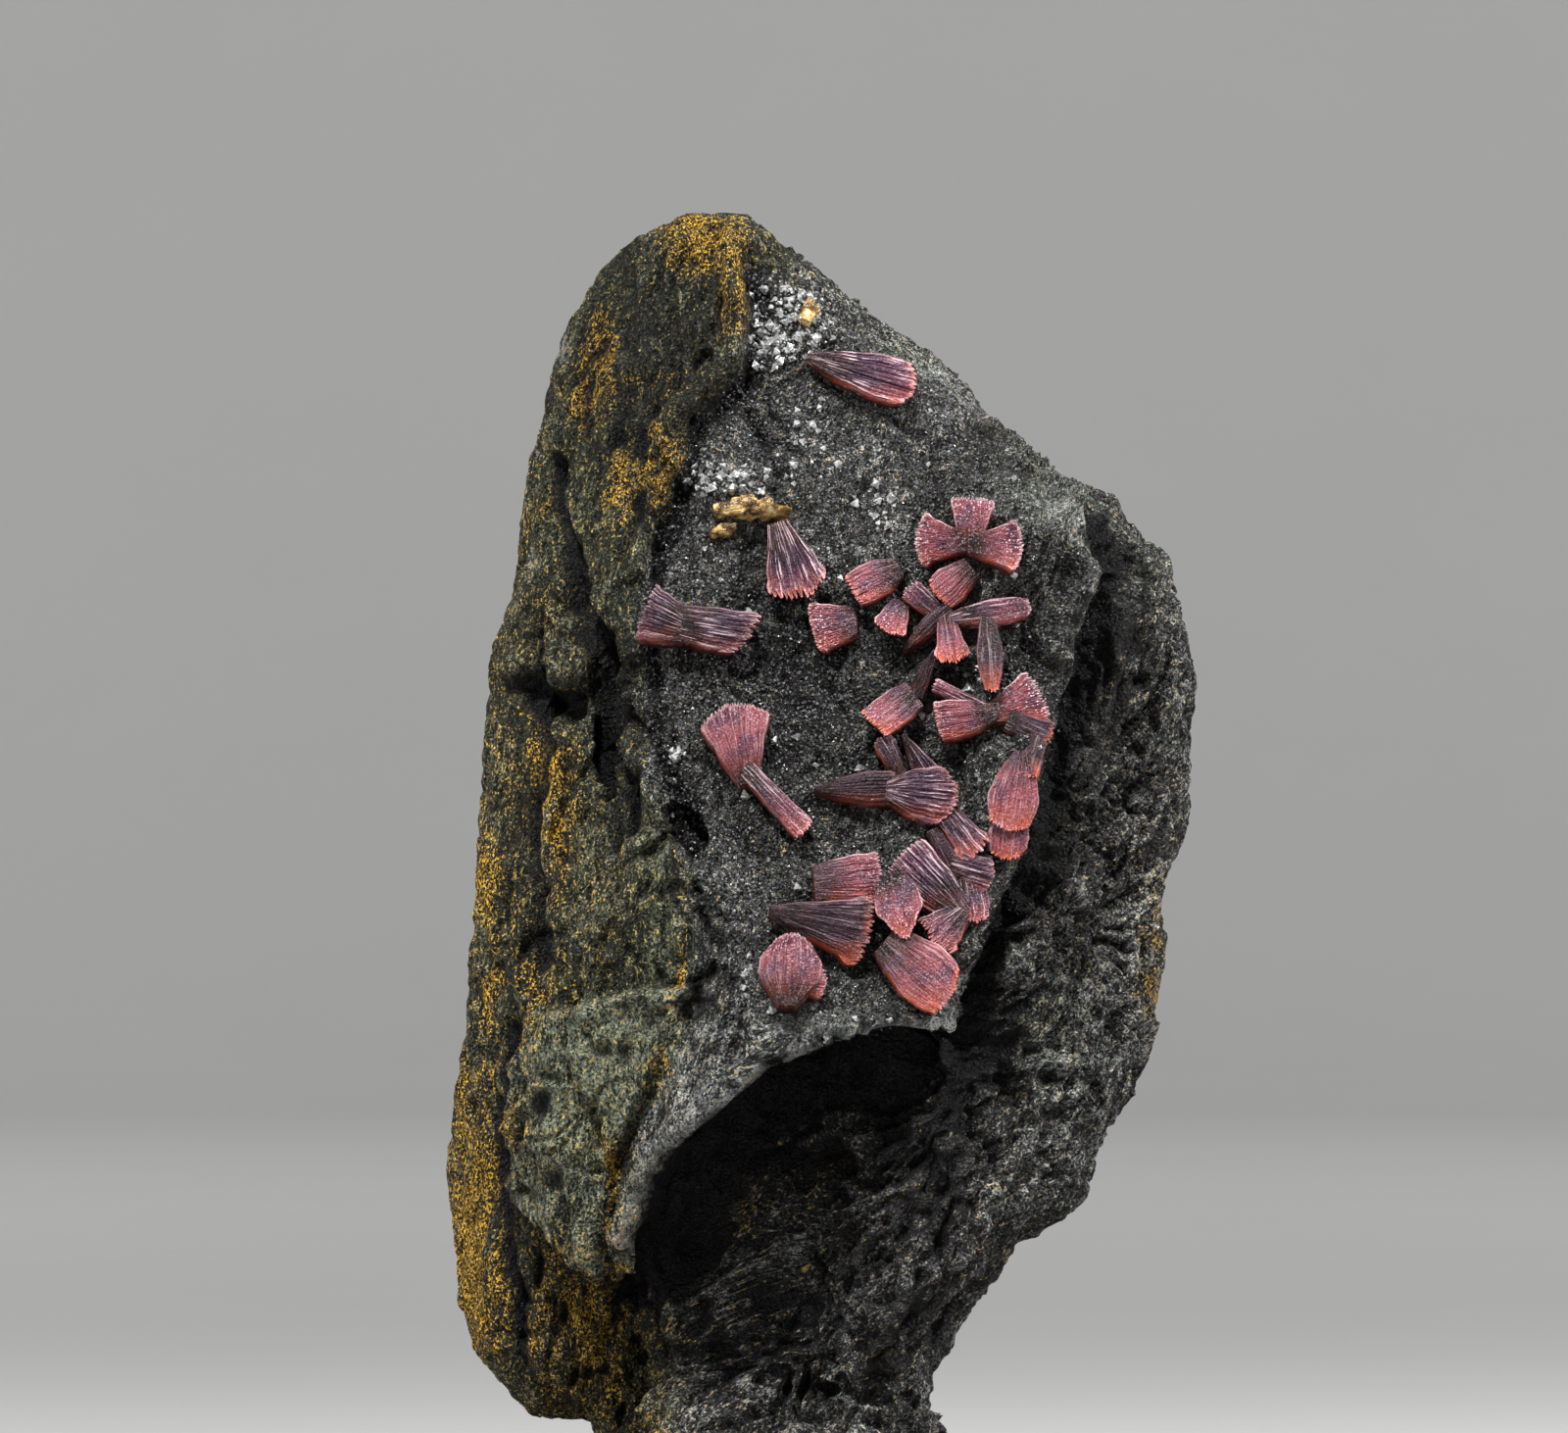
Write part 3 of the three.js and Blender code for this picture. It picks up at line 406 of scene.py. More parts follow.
def remeshed_rock(cell):
    """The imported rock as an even, slightly softened mesh in millimetres."""
    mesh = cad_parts["matrix"].data.copy()
    mesh.transform(Matrix.Scale(1 / MM, 4))
    working = in_scene("rock_working", mesh)
    remesh = working.modifiers.new("even", "REMESH")
    remesh.mode = "VOXEL"
    remesh.voxel_size = cell
    soften = working.modifiers.new("soften", "SMOOTH")
    soften.factor = 0.5
    soften.iterations = 4
    graph = bpy.context.evaluated_depsgraph_get()
    even = bpy.data.meshes.new_from_object(working.evaluated_get(graph))
    bpy.data.objects.remove(working)
    even.materials.clear()
    return even


def strand_space(p):
    """Coordinates across, through and along the rock's strands at every point."""
    x, y, z = p.T
    right = smooth(0, 16, x - 0.35 * (z - 60))
    lean = 0.08 + (0.8 - 0.08) * right
    across = x * np.cos(lean) - z * np.sin(lean)
    along = x * np.sin(lean) + z * np.cos(lean)
    warp = perlin(p, 9.0, 4.0)
    return np.column_stack([across + 1.3 * warp, y + 1.0 * warp, along])


def saw(values):
    """Long rises with short drops between them, from 0 to about 0.6."""
    part = values - np.floor(values)
    return part - smooth(0.62, 1.0, part)


def line_gap(x, z, line):
    """Distance to a line of the front view: positive left of it, as it runs, and negative right."""
    nearest = np.full(len(x), np.inf)
    side = np.ones(len(x))
    for start, end in zip(line, line[1:]):
        gap, left = segment_gap(x, z, start, end)
        side = np.where(gap < nearest, np.where(left >= 0, 1.0, -1.0), side)
        nearest = np.minimum(nearest, gap)
    return nearest * side


def crease_height(x, z):
    """Height that the rock's edges and creases add, in millimetres."""
    total = np.zeros(len(x))
    for line, reach, height, stepped in CREASES:
        share = line_gap(x, z, line) / reach
        bell = np.exp(-share ** 2)
        total += height * bell * (2.3 * share if stepped else 1.0)
    return total


def crystal_cover(x, z):
    """Share, from 0 to 1, of how much crystals stand over a point of the front view."""
    cover = np.zeros(len(x))
    for specs in (*CRYSTALS.values(), *HONEY_BLADES.values()):
        for spec in specs:
            gap = np.abs(line_gap(x, z, [spec["neck"], spec["end"]]))
            cover = np.maximum(cover, smooth(0.9, 0.0, gap - max(spec["wide"][:2]) / 2))
    return cover


def rock_relief(p, pocket):
    """Height of the fine relief over the solid's surface, in millimetres."""
    strands = strand_space(p)
    ropes = 1 - 2 * np.abs(perlin(strands, (2.0, 2.0, 7.0)))
    cords = 1 - 2 * np.abs(perlin(strands, (1.1, 1.1, 3.2), 7.0))
    ledges = saw(perlin(strands, (5.0, 5.0, 9.0), 13.0) * 3.5)
    clefts = np.maximum(0, 1 - 7 * np.abs(perlin(strands, (3.6, 3.6, 8.0), 91.0)))
    lumps = perlin(p, 2.4, 21.0)
    pits = np.minimum(0, perlin(p, 1.7, 31.0) + 0.2)
    grain = perlin(p, 0.95, 41.0)
    broad = perlin(p, 6.0, 47.0)
    rough = 0.6 * (ropes - 0.4) + 0.45 * (cords - 0.4) + 1.2 * (ledges - 0.3) + 0.3 * lumps
    rough += 0.8 * pits + 0.35 * grain + 0.5 * broad - 0.7 * clefts
    crust = 0.35 * lumps + 0.22 * perlin(p, 1.3, 51.0) + 0.3 * grain + 0.6 * (ledges - 0.3) + 0.3 * broad
    at_rim = 0.5 + 0.5 * smooth(2.0, 9.0, np.abs(p[:, 1] - 2))
    return (rough * (1 - pocket) + (crust - 0.35) * pocket) * at_rim


def mesh_arrays(mesh):
    """A mesh's points and its normals, one row a point."""
    count = len(mesh.vertices)
    points = np.empty(count * 3)
    mesh.vertices.foreach_get("co", points)
    normals = np.empty(count * 3, np.float32)
    mesh.vertex_normals.foreach_get("vector", normals)
    return points.reshape(-1, 3), normals.reshape(-1, 3).astype(float)


def rock_regions(p, normals):
    """Every point's place in the front view, and its share in each region of the rock."""
    x, y, z = p[:, 0] + MIDDLE[0], p[:, 1], p[:, 2]
    front = smooth(0.1, -0.2, normals[:, 1]) * smooth(12.0, 6.0, y)
    edge_noise = perlin(p, 4.0, 61.0)
    wobble = 0.4 * perlin(p, 3.0, 65.0)
    wavy_x, wavy_z = x + wobble, z + wobble
    pocket = smooth(-0.4, 0.5, polygon_distance(x, z, POCKET) + edge_noise) * front
    flank = smooth(-11.0, -15.0, x - 0.36 * np.maximum(z - 78, 0)) * (1 - pocket)
    facet, hollow, dark_foot, slab = (
        smooth(-0.3, 0.4, polygon_distance(wavy_x, wavy_z, outline)) * front
        for outline in (FACET, HOLLOW, DARK_FOOT, SLAB))
    calm = np.clip(patches(x, z, CALM_PATCHES) * front + 0.25 * flank + 0.12 * slab, 0, 0.8)
    lip, edge = (line_gap(wavy_x, wavy_z, line) for line, *_ in CREASES[:2])
    return {"x": x, "y": y, "z": z, "wavy_x": wavy_x, "wavy_z": wavy_z, "front": front, "pocket": pocket,
            "flank": flank, "facet": facet, "hollow": hollow, "dark_foot": dark_foot, "slab": slab,
            "calm": calm, "lip": lip, "edge": edge,
            "under": smooth(-0.5, 0.3, lip) * np.exp(-(lip / 7) ** 2)}


def store_rock_looks(rock, p, region, fine, folds):
    """Stores on the rock where it is stained, worn or pale, where painted light falls, and where painted
    shade lies in its hollows and sunken places.
    """
    x, y, z = region["x"], region["y"], region["z"]
    front, flank, slab, facet = region["front"], region["flank"], region["slab"], region["facet"]
    lip, edge = region["lip"], region["edge"]
    strands = strand_space(p)
    streaks = perlin(strands, (1.1, 1.1, 4.5), 71.0)
    ochre = patches(x, z, OCHRE_STAINS) * smooth(2.0, -3.0, y - 6)
    back_stain = smooth(0.1, 0.5, perlin(p, 14.0, 81.0)) * smooth(8.0, 14.0, y) * 0.45
    left = smooth(-14.0, -22.0, x + 0.1 * (z - 60)) * 0.14
    set_values(rock, "ochre", np.clip((ochre + back_stain + left) * (0.85 + 1.2 * streaks), 0, 1))
    set_values(rock, "pocket", region["pocket"])
    set_values(rock, "green", np.clip(patches(x, z, GREEN_TINTS) + 0.5 * slab, 0, 1) * front)
    set_values(rock, "weathered", np.clip(flank * (1 - facet) + 0.5 * smooth(4, 12, y), 0, 1))
    # Painted light: a lit band along the lip and the right flank's edge, highlights on the relief's crests,
    # and a lighter facet and slab, stored with the pale spots as paleness
    lit = 1.2 * np.exp(-((lip + 0.7) / 0.7) ** 2) + 0.4 * np.exp(-((edge + 0.8) / 0.8) ** 2)
    lit += 0.5 * smooth(0.3, 1.2, fine) + 0.35 * facet + 0.35 * slab
    set_values(rock, "paleness", np.clip(patches(x, z, PALE_AND_PAINTED_LIGHT_PATCHES) * front + lit, 0, 1.5))
    beside_slab = polygon_distance(region["wavy_x"], region["wavy_z"], SLAB) + 0.5
    # Painted shade: darker in the listed patches, the hollow, the dark foot, under the lip, along the slab's
    # edge and beyond the right flank's edge
    dark = patches(region["wavy_x"], region["wavy_z"], PAINTED_SHADE_PATCHES)
    dark += 0.25 * region["hollow"] + 0.4 * region["dark_foot"]
    dark += 1.1 * region["under"] * np.exp(-(lip / 5) ** 2)
    dark += 0.9 * np.exp(-(beside_slab / 0.5) ** 2) * smooth(34.0, 28.0, z)
    dark += 0.5 * smooth(-0.4, 0.2, edge) * np.exp(-(edge / 4) ** 2)
    set_values(rock, "shade", np.clip(dark, 0, 1) * front)
    # Painted shade in the relief's valleys and creases
    set_values(rock, "valley_shade", smooth(0.0, -0.9, fine + np.minimum(folds + 0.2, 0)) * 0.95)
    set_values(rock, "strands", strands)


def build_rock(sizes, colours):
    """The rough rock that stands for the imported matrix."""
    mesh = remeshed_rock(sizes.rock_cell / MM)
    p, normals = mesh_arrays(mesh)
    region = rock_regions(p, normals)
    y, z = region["y"], region["z"]
    fine = rock_relief(p, region["pocket"]) * sizes.relief * (1 - region["calm"])
    folds = crease_height(region["wavy_x"], region["wavy_z"]) - 1.8 * region["under"] + 1.5 * region["slab"]
    folds *= smooth(12.0, 6.0, y)
    lift = fine + folds
    cover = crystal_cover(region["x"], z) * region["front"]
    lift = lift * (1 - cover) + np.minimum(lift, -0.1) * cover
    keep_foot = smooth(0.2, 2.0, z)
    p = p + normals * (lift * keep_foot)[:, None]
    p[:, 2] = np.where(z < 0.35, 0.0, np.maximum(p[:, 2], 0.0))
    mesh.vertices.foreach_set("co", (p * MM).ravel())
    mesh.name = "rock"
    mesh.update()
    rock = in_scene("rock", mesh)
    store_rock_looks(rock, p, region, fine, folds)
    rock.data.materials.append(rock_material(colours))
    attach(rock, "root")
    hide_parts("matrix")
    return rock


# Crystals

def rib_pattern(columns, width, rib_width, rng):
    """For every column across a fan: its rib's cross-section from 0 to 1, and the rib's own
    random height and length."""
    count = max(3, int(round(width / rib_width)))
    edges = np.cumsum(rng.uniform(0.5, 1.5, count))
    edges = np.concatenate([[0.0], edges / edges[-1]])
    place = np.linspace(0, 1, columns + 1)
    rib = np.clip(np.searchsorted(edges, place, side="right") - 1, 0, count - 1)
    inside = (place - edges[rib]) / (edges[rib + 1] - edges[rib])
    profile = 4 * inside * (1 - inside)
    return profile, rng.uniform(-1, 1, count)[rib], rng.uniform(0, 1, count)[rib]


def crystal_top(spec, tree, rib_width, rng):
    """The ribbed upper face of one crystal: its grid of points, and the numbers it was made from."""
    neck = np.array(spec["neck"], float) - (MIDDLE[0], 0)
    end = np.array(spec["end"], float) - (MIDDLE[0], 0)
    frost, rib_height = STYLES[spec["style"]][3:5]
    neck_width, end_width, belly = spec["wide"]
    length = float(np.hypot(*(end - neck)))
    ahead = (end - neck) / length
    beside = np.array([-ahead[1], ahead[0]])
    widest = max(neck_width, end_width + belly / 2)
    rows = max(12, int(length / ROW_STEP))
    columns = max(16, int(widest / COLUMN_STEP))
    ribs_wide = rib_width * (0.8 + 5.5 * rib_height)
    profile, rib_rise, rib_long = rib_pattern(columns, widest, ribs_wide, rng)
    s = np.linspace(0, 1, rows + 1)[:, None]
    t = np.linspace(-1, 1, columns + 1)[None, :]
    near = front_depth(tree, *(neck + ahead * length * 0.08))
    far = front_depth(tree, *(neck + ahead * length * 0.92))
    near = (near if near is not None else far) - spec["rise"][0]
    far = (far if far is not None else near + spec["rise"][0]) - spec["rise"][1]
    taper = neck_width + (end_width - neck_width) * s + belly * 4 * s * (1 - s)
    wander = 0.03 * np.sin(7 * s + rng.uniform(0, 6)) + 0.02 * np.sin(17 * s + rng.uniform(0, 6))
    width = taper * (1 + wander)
    at_end = smooth(0.7, 1.0, s)
    notch = spec["teeth"] * ((profile - 1) * (0.8 + 1.3 * rib_long) - 0.6 * rib_long)[None, :]
    reach = spec["slant"] * t - spec["sag"] * t ** 2
    along = length * s + reach * s ** 2 + (notch + 0.3 * spec["teeth"]) * at_end
    sideways = width * t / 2 + 0.03 * at_end * rng.normal(0, 1, (1, columns + 1))
    rough = rng.normal(0, 1, (rows + 1, columns + 1))
    rough[1:-1, 1:-1] = (rough[1:-1, 1:-1] + rough[:-2, 1:-1] + rough[2:, 1:-1]) / 2
    cracks = crack_lines(s, t, rng)
    dome = (0.05 + 0.12 * (1 - frost)) * (1 - t ** 2)
    swell = (0.06 - 0.05 * frost) * widest * (1 - np.abs(t) ** 3) * np.sin(np.pi * np.minimum(1, s * 1.1))
    ribs = rib_height * ((profile - 0.6)[None, :] + 1.3 * rib_rise[None, :] * s) * smooth(0.0, 0.35, s)
    fine = (0.006 + 0.03 * frost * smooth(0.1, 0.6, s)) * rough
    height = dome + swell + ribs + fine - 0.07 * cracks - 0.05 * smooth(0.92, 1.0, np.abs(t))
    depth = near + (far - near) * s + spec["roll"] * t * s - height
    points = np.stack([
        neck[0] + ahead[0] * along + beside[0] * sideways,
        depth + np.zeros_like(along),
        neck[1] + ahead[1] * along + beside[1] * sideways,
    ], axis=-1)
    middle = np.array([neck[0] + ahead[0] * length * 0.45, 0, neck[1] + ahead[1] * length * 0.45])
    return {"points": points, "s": s, "t": t, "profile": profile, "cracks": cracks, "ahead": ahead,
            "length": length, "widest": widest, "middle": middle}


def crack_lines(s, t, rng):
    """Three thin cracks that run along a crystal's upper face, from 0 to 1."""
    cracks = np.zeros((len(s), t.shape[1]))
    for _ in range(3):
        line = rng.uniform(-0.8, 0.8) * (0.6 + 0.4 * s)
        start = rng.uniform(0.0, 0.5)
        cracks += np.exp(-((t - line) / 0.035) ** 2) * smooth(start, start + 0.15, s) * rng.uniform(0.4, 1)
    return np.minimum(1, cracks)


def edge_light(top):
    """How thin and lit from behind the upper face is at each of its points, from 0 to 1."""
    s, t, ahead = top["s"], top["t"], top["ahead"]
    heights = top["points"][:, :, 2]
    down_ahead = 0.1 + 0.9 * smooth(-0.3, 0.7, -ahead[1])
    down_beside = 0.1 + 0.9 * smooth(0.0, 0.8, -ahead[0] * np.sign(t))
    at_side = smooth(0.82, 1.0, np.abs(t)) * smooth(0.15, 0.5, s)
    at_rim = np.maximum(smooth(0.9, 1.0, s) * down_ahead, at_side * down_beside)
    low_part = smooth(0.45, 0.0, (heights - heights.min()) / np.ptp(heights)) * smooth(0.05, 0.4, s)
    return np.maximum(at_rim, 0.75 * low_part * (0.6 + 0.4 * top["profile"][None, :]))


def root_rings(rim, top, drop, rng):
    """Rings of points from the upper face's rim down into the rock, how far down each ring is, and
    the striae of the side walls."""
    ahead, middle = top["ahead"], top["middle"]
    stria = rng.normal(0, 1, len(rim))
    stria = (stria + np.roll(stria, 1)) / 2
    lean = np.array([-0.22 * ahead[0], 1.0, -ROOT_LEAN - 0.22 * ahead[1]])
    rings, depths = [], []
    for level in range(1, ROOT_RINGS + 1):
        k = (level / ROOT_RINGS) ** 1.4
        inward = 1 - 0.3 * k ** 1.5 + 0.016 * stria * (1 - k)
        lower = middle + (rim - middle) * inward[:, None]
        lower[:, 1] = rim[:, 1] + 0.04 * rng.normal(0, 1, len(rim)) * (k < 1)
        lower += lean * drop * k * [1 - 0.6 * k, 1, 1 - 0.6 * k]
        rings.append(lower)
        depths.append(k)
    return rings, depths, smooth(-1.2, 1.2, stria)


def shell_faces(index, ring):
    """Faces of the upper face's grid, of the walls under its rim and of the root's end."""
    a, b, c, d = index[:-1, :-1], index[:-1, 1:], index[1:, 1:], index[1:, :-1]
    faces = np.stack([a, d, c, b], axis=-1).reshape(-1, 4).tolist()
    turn = len(ring)
    upper = ring
    for level in range(ROOT_RINGS):
        lower = index.size + level * turn + np.arange(turn)
        faces.extend(np.stack([upper, np.roll(upper, -1), np.roll(lower, -1), lower], axis=-1).tolist())
        upper = lower
    tip = index.size + ROOT_RINGS * turn
    faces.extend(np.stack([upper, np.roll(upper, -1), np.full(turn, tip)], axis=-1).tolist())
    return faces


def crystal_shell(spec, tree, rib_width, rng):
    """Points, faces and stored values of one crystal: its ribbed upper face and the root under it."""
    pinkness, paleness, glow, frost, _, lump = STYLES[spec["style"]]
    top = crystal_top(spec, tree, rib_width, rng)
    s, t = top["s"], top["t"]
    full = top["points"].shape[:2]
    index = np.arange(full[0] * full[1]).reshape(full)
    ring = np.concatenate([index[0, :-1], index[:-1, -1], index[-1, :0:-1], index[:0:-1, 0]])
    face_points = top["points"].reshape(-1, 3)
    drop = BURIED + max(spec["rise"])
    rings, depths, stria = root_rings(face_points[ring], top, drop, rng)
    points = np.concatenate([face_points, *rings, rings[-1].mean(axis=0, keepdims=True)])
    if lump:
        points += lump * np.column_stack([perlin(points, 1.2, 5.0 * n) for n in (1, 2, 3)])
    flat_s = np.broadcast_to(s, full).ravel()
    across = np.broadcast_to(t * top["widest"] / 2, full).ravel()
    light = edge_light(top).ravel()
    at_edge = np.maximum(smooth(0.95, 0.985, s), smooth(0.94, 0.985, np.abs(t)) * smooth(0.2, 0.6, s))
    ribs = np.broadcast_to(top["profile"][None, :], full) * (1 - 0.9 * top["cracks"])
    turn = len(ring)
    around = np.tile(ring, ROOT_RINGS)
    down = np.repeat(depths, turn)
    wall_light = 0.3 + 0.7 * np.minimum(1, 2 * light[around])
    fibres = np.column_stack([
        np.concatenate([across, across[around], [0]]),
        np.concatenate([flat_s, flat_s[around], [0]]) * top["length"],
        np.concatenate([np.zeros(len(flat_s)), drop * down, [0]]),
    ])
    values = {
        "along": np.concatenate([flat_s, flat_s[around], [0.5]]),
        "rib": np.concatenate([ribs.ravel(), np.tile(stria, ROOT_RINGS), [0.5]]),
        "side": np.concatenate([np.zeros(len(flat_s)), down, [1.0]]),
        "fibres": fibres + rng.uniform(0, 50, 3),
        "pinkness": np.full(len(points), pinkness * rng.uniform(0.85, 1.0)),
        "pale": np.full(len(points), paleness),
        "glow": glow * np.concatenate([light, wall_light, [0.0]]),
        "frost": np.full(len(points), frost),
        "outline": np.concatenate([at_edge.ravel(), np.zeros(len(around) + 1)]),
    }
    return points, shell_faces(index, ring), values


def build_crystal_piece(node, specs, tree, rib_width, material, seed):
    """One grown-together piece of crystals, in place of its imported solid."""
    rng = np.random.default_rng(seed)
    points, faces, values = [], [], {}
    start = 0
    for spec in specs:
        shell_points, shell_faces, shell_values = crystal_shell(spec, tree, rib_width, rng)
        points.append(shell_points)
        faces.extend([[n + start for n in face] for face in shell_faces])
        for name, numbers in shell_values.items():
            values.setdefault(name, []).append(numbers)
        start += len(shell_points)
    piece = new_object(f"{node}_crystal", np.concatenate(points), faces)
    for name, numbers in values.items():
        set_values(piece, name, np.concatenate(numbers))
    piece.data.shade_smooth()
    piece.data.set_sharp_from_angle(angle=math.radians(38))
    piece.data.materials.append(material)
    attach(piece, "root")
    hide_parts(node)
    return piece


def build_crystal_pieces(crystals, rib_width, material, first_seed):
    """Every piece of one kind of crystal, each in place of the imported solid that it stands for."""
    tree = rock_tree(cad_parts["matrix"])
    return [
        build_crystal_piece(node, specs, tree, rib_width, material, seed)
        for seed, (node, specs) in enumerate(crystals.items(), first_seed)
    ]


# Grains

def grain_cloud(name, spots, sizes, rng):
    """Small jittered eight-sided grains at given places."""
    shape = np.array([(1, 0, 0), (-1, 0, 0), (0, 1, 0), (0, -1, 0), (0, 0, 1), (0, 0, -1)], float)
    sides = np.array([(0, 2, 4), (2, 1, 4), (1, 3, 4), (3, 0, 4), (2, 0, 5), (1, 2, 5), (3, 1, 5), (0, 3, 5)])
    count = len(spots)
    turn = np.linalg.qr(rng.normal(size=(count, 3, 3)))[0]
    turn[np.linalg.det(turn) < 0] *= -1
    stretch = rng.uniform(0.55, 1.2, (count, 6, 1))
    corners = np.einsum("nij,nkj->nki", turn, shape[None] * stretch)
    points = spots[:, None, :] + corners * sizes[:, None, None]
    faces = (sides[None] + 6 * np.arange(count)[:, None, None]).reshape(-1, 3)
    return new_object(name, points.reshape(-1, 3), faces)


def pocket_spots(count, rng, tree, weight):
    """Places on the pocket's surface, more of them where the weight is higher."""
    found = []
    low = np.min(POCKET, axis=0)
    high = np.max(POCKET, axis=0)
    while len(found) < count:
        tries = rng.uniform(low, high, (4000, 2))
        inside = polygon_distance(tries[:, 0], tries[:, 1], POCKET) > rng.uniform(-0.6, 1.2, len(tries))
        chosen = inside & (rng.uniform(0, 1, len(tries)) < weight(tries[:, 0], tries[:, 1]))
        for x, z in tries[chosen]:
            depth = front_depth(tree, x - MIDDLE[0], z)
            if depth is not None and depth < -4:
                found.append((x - MIDDLE[0], depth, z))
    return np.array(found[:count])


def build_grains(sizes, colours, tree):
    """Dark grains all over the pocket, and clear quartz grains in patches."""
    rng = np.random.default_rng(GRAIN_SEED)
    spots = pocket_spots(sizes.druse_count, rng, tree, lambda x, z: np.ones(len(x)))
    druse = grain_cloud("dark_grains", spots, rng.uniform(0.08, 0.22, len(spots)), rng)
    druse.data.materials.append(grain_material("dark_grains", colours.druse, 0.3, 0.0))
    spots = pocket_spots(sizes.quartz_count, rng, tree,
                         lambda x, z: np.clip(patches(x, z, QUARTZ_SPOTS) - 0.02, 0.004, 1))
    wide = 0.08 + 0.6 * rng.uniform(0, 1, len(spots)) ** 3
    quartz = grain_cloud("quartz_grains", spots, wide, rng)
    quartz.data.materials.append(grain_material("quartz_grains", colours.quartz, 0.08, 0.5))
    for piece in (druse, quartz):
        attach(piece, "root")
    return druse, quartz


# Materials

def feed(tree, node, values):
    """Sets a node's sockets, or links them to other nodes. Colours have three numbers."""
    for key, value in values.items():
        socket = node.inputs[key]
        if isinstance(value, bpy.types.NodeSocket):
            tree.links.new(value, socket)
        elif socket.type == "RGBA":
            socket.default_value = (*value, 1.0)
        else:
            socket.default_value = value


def add(tree, kind, values, **settings):
    """A shader node with its settings and input values."""
    node = tree.nodes.new(kind)
    for name, value in settings.items():
        setattr(node, name, value)
    feed(tree, node, values)
    return node


def mix(tree, factor, first, second):
    """Mixed colour of two colours."""
    return add(tree, "ShaderNodeMix", {0: factor, 6: first, 7: second}, data_type="RGBA").outputs[2]


def maths(tree, operation, first, second=0.0, clamp=False):
    """Result of a sum on two numbers."""
    node = add(tree, "ShaderNodeMath", {0: first, 1: second}, operation=operation, use_clamp=clamp)
    return node.outputs[0]


def product(tree, first, *others, clamp=False):
    """Product of several numbers, held between 0 and 1 at the end where asked."""
    for n, other in enumerate(others, 1):
        first = maths(tree, "MULTIPLY", first, other, clamp=clamp and n == len(others))
    return first


def step(tree, value, low, high):
    """Number eased from 0 at low to 1 at high."""
    values = {"Value": value, "From Min": low, "From Max": high}
    return add(tree, "ShaderNodeMapRange", values, interpolation_type="SMOOTHSTEP").outputs["Result"]


def stored(tree, name):
    """Number stored on the mesh under a name."""
    return add(tree, "ShaderNodeAttribute", {}, attribute_name=name).outputs["Fac"]


def object_place(tree):
    """Place of a point on its object."""
    return add(tree, "ShaderNodeTexCoord", {}).outputs["Object"]


def cloud_noise(tree, place, scale, detail, roughness=0.5):
    """Cloudy noise at a place."""
    values = {"Vector": place, "Scale": scale, "Detail": detail, "Roughness": roughness}
    return add(tree, "ShaderNodeTexNoise", values).outputs["Fac"]


def drawn_noise(tree, name, stretch, scale, detail, roughness):
    """Noise drawn out along the strands or fibres whose coordinates are stored under a name."""
    fibres = add(tree, "ShaderNodeAttribute", {}, attribute_name=name).outputs["Vector"]
    drawn = add(tree, "ShaderNodeVectorMath", {0: fibres, 1: stretch}, operation="MULTIPLY").outputs[0]
    return cloud_noise(tree, drawn, scale, detail, roughness)


def toned(tint, share):
    """A colour made darker or brighter."""
    return tuple(share * c for c in tint)


def grain_group():
    """Node group: mineral grains of a given size, with a share of bright ones. Gives a mask of the
    bright grains, each grain's own tone, and a height."""
    found = bpy.data.node_groups.get("mineral_grain")
    if found:
        return found
    tree = bpy.data.node_groups.new("mineral_grain", "ShaderNodeTree")
    tree.interface.new_socket("Size", in_out="INPUT", socket_type="NodeSocketFloat").default_value = 0.3
    tree.interface.new_socket("Share", in_out="INPUT", socket_type="NodeSocketFloat").default_value = 0.1
    for name in ("Glint", "Tone", "Height"):
        tree.interface.new_socket(name, in_out="OUTPUT", socket_type="NodeSocketFloat")
    inputs = tree.nodes.new("NodeGroupInput")
    outputs = tree.nodes.new("NodeGroupOutput")
    scale = maths(tree, "DIVIDE", 1 / MM, inputs.outputs["Size"])
    cells = add(tree, "ShaderNodeTexVoronoi", {"Vector": object_place(tree), "Scale": scale})
    random = add(tree, "ShaderNodeSeparateColor", {"Color": cells.outputs["Color"]})
    least = maths(tree, "SUBTRACT", 1.0, inputs.outputs["Share"])
    chosen = maths(tree, "GREATER_THAN", random.outputs[0], least)
    core = step(tree, cells.outputs["Distance"], 0.6, 0.3)
    height = maths(tree, "SUBTRACT", product(tree, random.outputs[2], 0.6), cells.outputs["Distance"])
    feed(tree, outputs, {"Glint": product(tree, chosen, core), "Tone": random.outputs[1], "Height": height})
    return tree


def fine_grain(tree, size, share):
    """The mineral grain group in a material."""
    return add(tree, "ShaderNodeGroup", {"Size": size, "Share": share}, node_tree=grain_group())


def start_material(name):
    """A new material with its tree and its surface shader."""
    material = bpy.data.materials.new(name)
    material.use_nodes = True
    tree = material.node_tree
    return material, tree, tree.nodes["Principled BSDF"]


def bumped(tree, heights):
    """Normal from several heights, each with its strength and depth in millimetres."""
    normal = None
    for height, strength, depth in heights:
        node = add(tree, "ShaderNodeBump", {"Strength": strength, "Distance": depth * MM, "Height": height})
        if normal is not None:
            tree.links.new(normal, node.inputs["Normal"])
        normal = node.outputs["Normal"]
    return normal


